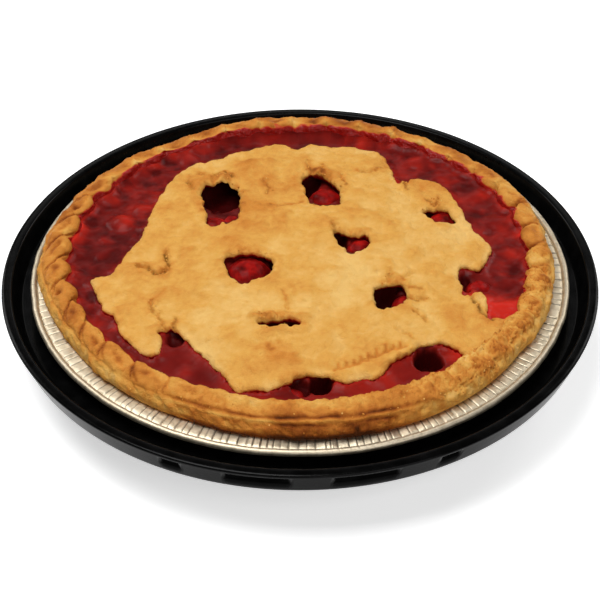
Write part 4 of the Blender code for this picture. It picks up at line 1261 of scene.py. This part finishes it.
# A skin 4 mm wide in its ripples.
skin = add_node(tree, "ShaderNodeTexNoise", {"Vector": where, "Scale": 1000 / 4.0, "Detail": 2.0})
relief = add_node(tree, "ShaderNodeBump", {"Height": skin, "Strength": 0.3, "Distance": 0.0007})
# Down in the hollows the skin is dull with crumbs and pulp, so they don't mirror the lamps.
gloss = add_node(tree, "ShaderNodeMapRange",
                 {"Value": depth, "From Min": 0.75, "From Max": 1.05, "To Min": 0.32, "To Max": 0.55})
shine = add_node(tree, "ShaderNodeMapRange",
                 {"Value": depth, "From Min": 0.75, "From Max": 1.05, "To Min": 0.1, "To Max": 0.03})
fill(tree, shader, {
    "Base Color": tint, "Normal": relief, "Roughness": gloss, "Specular IOR Level": shine, "IOR": 1.42,
    "Subsurface Weight": 0.2, "Subsurface Radius": (1.0, 0.15, 0.08), "Subsurface Scale": 2.5 * MM})
print("filling finish:", gel.name)

# %% Cherries under the gel, and hollows in it
# centre x and y, height of the top above the gel there, and radius
CHERRIES = (
    (-66, 45, 0.7, 9.0), (-87, 5, 0.3, 9.0), (-62, 62, 0.9, 9.0), (-52, 76, 0.8, 9.0),
    (-86, 42, 0.4, 8.5), (-22, 91, 0.7, 9.0), (6, 92, 0.5, 8.5), (30, 90, 0.8, 9.0), (55, 74, 1.1, 9.5),
    (66, 62, 0.9, 9.0), (80, 46, 0.9, 9.5), (87, 26, 1.1, 9.0), (90, 4, 0.8, 9.0), (86, -16, 0.7, 9.0),
    (84, -33, 0.9, 8.5), (60, -67, 0.9, 8.0), (34, -80, 0.6, 9.0), (-44, -74, 0.5, 8.5),
    (-68, -66, 0.4, 8.5), (-88, -24, 0.2, 8.5), (-78, 25, 2.4, 9.0), (-70, 35, 1.1, 7.5),
)
# centre x and y, half width and half height, turn in degrees, depth
HOLLOWS = (
    (-35.0, 51.0, 13.0, 16.0, 0.0, 9.0), (2.5, 53.0, 6.0, 12.0, -25.0, 7.0),
    (34.5, -29.0, 8.0, 10.0, 0.0, 8.0), (16.5, 9.0, 4.5, 8.0, 0.0, 6.0), (55.5, 29.0, 4.0, 6.0, 0.0, 5.0),
    (-10.5, -11.0, 3.4, 8.0, 0.0, 5.0), (-24.0, -22.5, 7.0, 2.2, -10.0, 3.0),
    (-9.0, -48.5, 10.5, 3.4, 0.0, 2.8), (50.3, -66.2, 5.8, 6.2, 0.0, 10.0),
    (8.0, -80.8, 5.0, 4.6, 10.0, 9.0), (0.5, -82.5, 4.5, 4.5, 0.0, 3.0),
    (-49.5, -54.5, 4.2, 4.6, 20.0, 2.6), (69.0, -19.5, 2.8, 6.0, 0.0, 3.5),
)
# Where the gel is deeper, and so darker, or shallower than elsewhere: centre x and y, reach and how much
DEPTH_SPOTS = (
    (-82, 8, 26.0, 0.1), (-50, -66, 18.0, 0.1), (-52, 70, 16.0, 0.12), (80, -34, 11.0, -0.2),
    (61, -64, 6.0, -0.3), (-79, 24, 6.5, -0.14), (81, -36, 7.5, -0.35),
)
CLEAR_FRONT = ((20, -84, 22.0, -0.2),)  # the same, but for the hollows there
# centre x and y, and half width, of small pools painted dark: painted shade of little pockets in the gel
DARK_POOLS = (
    (-61.0, 73.0, 3.0), (-67.0, 65.0, 3.0), (-81.0, 56.0, 2.8), (-92.0, 26.0, 2.6), (-71.0, 23.0, 2.4),
    (-83.0, -28.0, 4.0), (92.0, -6.0, 4.0), (76.0, 52.0, 3.5), (24.0, 91.0, 4.0),
)
print(len(CHERRIES), "cherries under the gel,", len(HOLLOWS), "hollows in it")

# %% Height of the gel
VENT_SINK = 2.0  # how far the gel has sunk under the open vents
FILM = 0.25  # thickness of the gel over a cherry
BLEND = 0.5  # how softly it drapes


def gel_base(x, y):
    """Height of the gel close under the top crust, before hollows are sunk into it."""
    return lid_height(x, y) - LID_THICKNESS - 0.3


def hollow_depth(x, y):
    """How far the hollows have sunk; they have steep sides and uneven outlines."""
    depth = np.zeros(np.shape(x))
    uneven = 0.09 * soft_noise(x, y, 3.5, 45)
    for centre_x, centre_y, half_width, half_height, turn, deepest in HOLLOWS:
        lean = radians(turn)
        along = (x - centre_x) * cos(lean) + (y - centre_y) * sin(lean)
        across = -(x - centre_x) * sin(lean) + (y - centre_y) * cos(lean)
        share = np.hypot(along / half_width, across / half_height) + uneven
        depth = np.maximum(depth, deepest * (1.0 - smooth_step(0.55, 1.12, share)))
    return depth


def over_cherries(x, y, height):
    """The gel's height where it drapes over the cherries, a soft maximum of both."""
    total = np.ones(np.shape(x))
    uneven = 1.0 + 0.12 * soft_noise(x, y, 5.0, 46)
    for centre_x, centre_y, above, radius in CHERRIES:
        middle = float(gel_base(np.array(float(centre_x)), np.array(float(centre_y)))) + above - radius
        away = np.hypot(x - centre_x, y - centre_y) * uneven
        cap = middle + np.sqrt(np.maximum(radius ** 2 - away ** 2, 0.0)) + FILM
        total += np.where(away < radius, np.exp(np.clip((cap - height) / BLEND, -30, 30)), 0.0)
    return height + BLEND * np.log(total)


wall_row = rim[7 * RIM_STEPS]
wall_turns = np.degrees(np.arctan2(wall_row[:, 1], wall_row[:, 0])) % 360.0
order = np.argsort(wall_turns)
wall_turns, wall_radii = wall_turns[order], np.hypot(wall_row[order, 0], wall_row[order, 1])


def wall_radius(x, y):
    """Radius of the dough's inner wall in the direction of each point."""
    return np.interp(np.degrees(np.arctan2(y, x)) % 360.0, wall_turns, wall_radii, period=360.0)


print("inner wall radius:", round(float(wall_radii.min()), 1), "to", round(float(wall_radii.max()), 1), "mm")

# %% Gel surface
GEL_REACH = 99.8  # inside the dough everywhere, so that its edge never shows
GEL_GRID = 0.8
SHORE_POINTS = 720
GEL_FLOOR = ((97.2, 31.4), (96.6, 27.2), (83.4, 7.1), (80.8, 5.9))
angles = np.linspace(0, 2 * pi, SHORE_POINTS, endpoint=False)
shore_points = np.stack([GEL_REACH * np.cos(angles), GEL_REACH * np.sin(angles)], axis=1)
fine = hex_grid(GEL_REACH - 0.4, GEL_GRID, 40)
covered = on_sheet(fine, outline, vents) & (distance_to(fine, loops, 0.4) > 4.0)
coarse = hex_grid(GEL_REACH - 2.0, 4.0, 41)
hidden = on_sheet(coarse, outline, vents) & (distance_to(coarse, loops, 0.4) > 5.5)
flat, faces = flat_sheet(shore_points, [], np.vstack([fine[~covered], coarse[hidden]]))
x, y = flat.T
radius = np.hypot(x, y)
sunk = hollow_depth(x, y)
level = gel_base(x, y)
# Bits of fruit make it lumpy, but for the clear gel along the front.
lumpy = 0.25 + 0.75 * smooth_step(-72.0, -40.0, y)
level += 0.26 * soft_noise(x, y, 9.0, 42) + (0.08 + 0.17 * lumpy) * soft_noise(x, y, 3.6, 43)
surface = over_cherries(x, y, level)
lump = np.clip(surface - level, 0.0, 2.0)
print(f"cherries lift the gel by up to {lump.max():.1f} mm, hollows sink {sunk.max():.1f} mm")

# %% Gel at its edges
# The gel sags a little between the rim and the top crust, and falls away in the vents and hollows.
under_lid = points_inside(flat, outline)
open_vent = under_lid & ~on_sheet(flat, outline, vents)
vent_gap = np.where(open_vent, 0.0, distance_to(flat, vents, 0.4))
surface -= VENT_SINK * (1.0 - smooth_step(0.5, 4.0, vent_gap))
lid_gap = np.where(under_lid, 0.0, distance_to(flat, [outline], 0.4))
to_wall = wall_radius(x, y) - radius
middle = np.clip(np.minimum(lid_gap, to_wall), 0.0, 8.0)
surface -= 0.5 * smooth_step(0.0, 6.0, middle)
surface -= sunk
climb = 1.5 * np.exp(-np.maximum(to_wall, 0.0) / 1.3)
climb += (0.55 * np.exp(-lid_gap / 0.9) + 0.7 * np.exp(-lid_gap / 0.6)) * (lid_gap > 0)
surface += climb * (1.0 - smooth_step(1.0, 4.0, sunk))
print(f"gel climbs {climb.max():.1f} mm at its edges")

# %% Depth of colour in the gel
deep = 0.6 + 0.1 * soft_noise(x, y, 10.0, 44) - 0.14 * lump + round_spots(x, y, DEPTH_SPOTS)
deep += round_spots(x, y, CLEAR_FRONT) * (sunk < 1)
deep += lumpy * (0.08 * soft_noise(x, y, 4.5, 49) - 0.09 * soft_noise(x, y, 3.6, 43))
shallow = 0.42 - 0.26 * bump(np.degrees(np.arctan2(y, x)), 90.0, 40.0)
deep -= shallow * np.exp(-np.maximum(to_wall, 0.0) / 2.2) * (0.6 + 0.6 * soft_noise(x, y, 7.0, 47))
deep -= 0.22 * np.exp(-lid_gap / 1.6) * (lid_gap > 0)
# Painted shade of the little pockets, drawn flat.
ragged = 1.0 + 0.25 * soft_noise(x, y, 3.0, 48)
for centre_x, centre_y, half_width in DARK_POOLS:
    away = np.hypot(x - centre_x, y - centre_y) * ragged
    deep += 0.24 * (1.0 - smooth_step(0.2, 1.6, away / half_width))
# The hollows and the gel sunk under the vents are darkened further: painted shade.
deep = np.clip(deep, 0.02, 0.8) + 0.16 * sunk + 0.08 * (1.0 - smooth_step(0.5, 4.0, vent_gap))
print(f"depth of colour from {deep.min():.2f} to {deep.max():.2f}")

# %% Body of the filling
lower = []
for ring_radius, ring_height in GEL_FLOOR:
    lower.append(np.column_stack([shore_points * ring_radius / GEL_REACH,
                                  np.full(SHORE_POINTS, ring_height)]))
count = len(flat)
assert np.allclose(flat[:SHORE_POINTS], shore_points, atol=1e-4)
rings = [np.arange(SHORE_POINTS)] + [count + SHORE_POINTS * index + np.arange(SHORE_POINTS)
                                     for index in range(len(GEL_FLOOR))]
sides = [
    (upper[a], lower_ring[a], lower_ring[(a + 1) % SHORE_POINTS], upper[(a + 1) % SHORE_POINTS])
    for upper, lower_ring in zip(rings, rings[1:]) for a in range(SHORE_POINTS)
]
points = np.vstack([np.column_stack([flat, surface]), *lower])
faces_all = [*faces.tolist(), *sides, rings[-1].tolist()]
deep = np.concatenate([deep, np.full(SHORE_POINTS * len(GEL_FLOOR), 0.6)])
filling = make_object("cherry_gel_filling", points, faces_all, gel, {"deep": deep})
close_up(filling, merge=0.001)
print(f"gel from {surface.min():.1f} to {surface.max():.1f} mm")

# %% [markdown]
# Some cherries stand clear of the gel inside the vents. A pitted cherry is a ball with a dent where the
# stone came out and a wrinkled skin. Geometry Nodes put one ball on each of the spots, sized by an
# attribute and turned at random, and then wrinkle them all with noise of a few millimetres.

# %% Skin of the cherries
cherry_skin, tree, shader = new_material("cherry_skin")
where = add_node(tree, "ShaderNodeTexCoord").outputs["Object"]
# The skin is mottled over 5 mm, from crimson to a dark wine red.
mottle = add_node(tree, "ShaderNodeTexNoise", {"Vector": where, "Scale": 1000 / 5.0, "Detail": 3.0})
tint = add_node(tree, "ShaderNodeValToRGB", {"Fac": mottle},
                stops=((0.3, "#b51a14"), (0.5, "#8c1210"), (0.72, "#520806")))
pores = add_node(tree, "ShaderNodeTexNoise", {"Vector": where, "Scale": 1000 / 1.2, "Detail": 1.0})
relief = add_node(tree, "ShaderNodeBump", {"Height": pores, "Strength": 0.2, "Distance": 0.0004})
fill(tree, shader, {
    "Base Color": tint, "Normal": relief, "Roughness": 0.36, "IOR": 1.42, "Specular IOR Level": 0.06,
    "Subsurface Weight": 0.25, "Subsurface Radius": (1.0, 0.12, 0.08), "Subsurface Scale": 2.0 * MM})
print("fruit finish:", cherry_skin.name)

# %% Cherries that stand clear of the gel
# centre x and y, height of the top above the gel's level there, and radius
BARE_CHERRIES = (
    (-38.0, 26.0, -0.8, 7.0), (-30.0, 29.0, -1.6, 7.0), (11.5, 45.0, 1.0, 8.5), (-22.0, -10.0, 1.2, 11.5),
    (26.0, 6.0, 0.5, 6.5), (63.5, 28.5, 0.8, 7.5), (44.0, -30.5, -0.4, 6.5), (-3.0, -85.0, -0.6, 5.0),
    (75.0, -20.5, 1.2, 6.0),
)


def cherry_rule():
    """A Geometry Nodes tree that puts a wrinkled cherry on every point."""
    tree, sizes = new_tree("bare_cherries", Wrinkle="NodeSocketFloat", Seed="NodeSocketInt",
                           Finish="NodeSocketMaterial")
    size = sizes.outputs
    ball = add_node(tree, "GeometryNodeMeshIcoSphere", {"Radius": 1.0, "Subdivisions": 5})
    spot = add_node(tree, "ShaderNodeSeparateXYZ", {0: add_node(tree, "GeometryNodeInputPosition")})
    # The dent of the stone: points near the ball's own axis sink towards its middle.
    out = add_node(tree, "ShaderNodeMapRange",
                   {"Value": spot.outputs["Z"], "From Min": 0.86, "From Max": 1.0, "To Min": 1.0,
                    "To Max": 0.78},
                   interpolation_type="SMOOTHSTEP")
    scaled = add_node(tree, "ShaderNodeVectorMath", {0: add_node(tree, "GeometryNodeInputPosition"),
                                                     "Scale": out}, operation="SCALE")
    pitted = add_node(tree, "GeometryNodeSetPosition", {"Geometry": ball, "Position": scaled})
    # The dents face aside, as a pitted cherry doesn't rest on its own hole.
    chance = add_node(tree, "FunctionNodeRandomValue",
                      {0: (1.2, -0.4, 0.0), 1: (1.9, 0.4, 6.28), "Seed": size["Seed"]},
                      data_type="FLOAT_VECTOR")
    radius = add_node(tree, "GeometryNodeInputNamedAttribute", {"Name": "radius"}, data_type="FLOAT")
    placed = add_node(tree, "GeometryNodeInstanceOnPoints", {
        "Points": size["Geometry"], "Instance": pitted, "Rotation": chance, "Scale": radius})
    real = add_node(tree, "GeometryNodeRealizeInstances", {"Geometry": placed})
    noise = add_node(tree, "ShaderNodeTexNoise", {"Scale": 1000 / 4.5, "Detail": 2.0})
    level = add_node(tree, "ShaderNodeMath", {0: noise, 1: 0.5}, operation="SUBTRACT")
    height = add_node(tree, "ShaderNodeMath", {0: level, 1: size["Wrinkle"]}, operation="MULTIPLY")
    push = add_node(tree, "ShaderNodeVectorMath", {0: add_node(tree, "GeometryNodeInputNormal"),
                                                   "Scale": height}, operation="SCALE")
    wrinkled = add_node(tree, "GeometryNodeSetPosition", {"Geometry": real, "Offset": push})
    end_tree(tree, wrinkled, size["Finish"])
    return tree


places, radii = [], []
for centre_x, centre_y, above, radius in BARE_CHERRIES:
    base = float(gel_base(np.array(centre_x), np.array(centre_y)))
    places.append((centre_x, centre_y, base + above - radius))
    radii.append(radius * MM)
cherries = make_object("bare_cherries", places, [], cherry_skin, {"radius": radii})
run_tree(cherries, cherry_rule(), Wrinkle=1.5 * MM, Seed=3, Finish=cherry_skin)
close_up(cherries)

# %% [markdown]
# Baking leaves crumbs: along the torn lips of the vents, in the cracks, and where the front right of the
# rim crumbled. Each is a little faceted lump of half a millimetre to a millimetre. Again Geometry Nodes
# place them, on spots drawn with a fixed seed along the lines where the dough broke.

# %% Crumbs along the breaks
CRUMB_SIZES = (0.16, 0.42)  # radius in mm

draw = np.random.default_rng(71)
spots = []
for (_, _, ruffle), loop in zip(VENTS, vents):
    picks = loop[draw.random(len(loop)) < 0.16 * ruffle]
    spots.append(picks + draw.normal(0.0, 0.9, picks.shape) + 0.4)
for stops, height, width in DOUGH_LINES:
    if height < -0.55:
        line = spline(stops, 4)
        spots.append(line + draw.normal(0.0, 1.1, line.shape))
spots = np.vstack(spots)
spots = spots[on_sheet(spots, outline, vents) & (distance_to(spots, loops) > 0.3)]
on_lid = np.column_stack([spots, top[nearest(flat_lid, spots)[0]] + 0.1])
# The rim's crumbs lie on its own rows of points, most of them at the front right.
weight = smooth_step(0.6, 1.0, step) * smooth_step(6.4, 5.0, step) * (bump(turns, 312.0, 20.0) + 0.25 * front)
chosen = draw.random(weight.shape) < 0.022 * weight
on_rim = rim[chosen]
places = np.vstack([on_lid, on_rim])
radii = draw.uniform(*CRUMB_SIZES, len(places)) * MM


def crumb_rule():
    """A Geometry Nodes tree that puts a small faceted lump on every point."""
    tree, sizes = new_tree("pastry_crumbs", Seed="NodeSocketInt", Finish="NodeSocketMaterial")
    size = sizes.outputs
    lump = add_node(tree, "GeometryNodeMeshIcoSphere", {"Radius": 1.0, "Subdivisions": 2})
    chance, squash = (
        add_node(tree, "FunctionNodeRandomValue", {0: least, 1: most, "Seed": size["Seed"]},
                 data_type="FLOAT_VECTOR")
        for least, most in (((0.0, 0.0, 0.0), (6.28, 6.28, 6.28)), ((0.6, 0.6, 0.6), (1.7, 1.2, 1.1)))
    )
    radius = add_node(tree, "GeometryNodeInputNamedAttribute", {"Name": "radius"}, data_type="FLOAT")
    sized = add_node(tree, "ShaderNodeVectorMath", {0: squash, "Scale": radius}, operation="SCALE")
    placed = add_node(tree, "GeometryNodeInstanceOnPoints", {
        "Points": size["Geometry"], "Instance": lump, "Rotation": chance, "Scale": sized})
    end_tree(tree, placed, size["Finish"])
    return tree


crumbs = make_object("pastry_crumbs", places, [], pastry, {"radius": radii})
run_tree(crumbs, crumb_rule(), Seed=5, Finish=pastry)
paint(crumbs.data, {"baked_and_shaded": 0.3 + 0.22 * soft_noise(*mesh_points(crumbs)[:, :2].T, 2.5, 72)})
close_up(crumbs, merge=0.0001)
print(len(places), "crumbs")

# %% [markdown]
# Last, each piece rides on the pie's one body, and the CAD solid whose place it fills is hidden. The size of
# the dressed pie is printed beside the size of the CAD model, so that the two can be compared.

PIECES = (
    (tray, "tray_plastic", "display_tray"),
    (tin, "tin_foil", "foil_tin"),
    (crust, "rim_pastry", "bottom_crust"),
    (filling, "cherry_gel", "cherry_filling"),
    (lid, "lid_pastry", "top_crust"),
    (cherries, "cherry_gel", None),
    (crumbs, "lid_pastry", None),
)
for piece, slot, node in PIECES:
    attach(piece, "root")
    if node:
        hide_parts(node)

boxes = {"cad": [list(corner) for corner in cad_box], "visual": [list(corner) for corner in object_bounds()]}
for name, (low, high) in boxes.items():
    print(name, "box in mm:", [round((b - a) / MM, 1) for a, b in zip(low, high)])
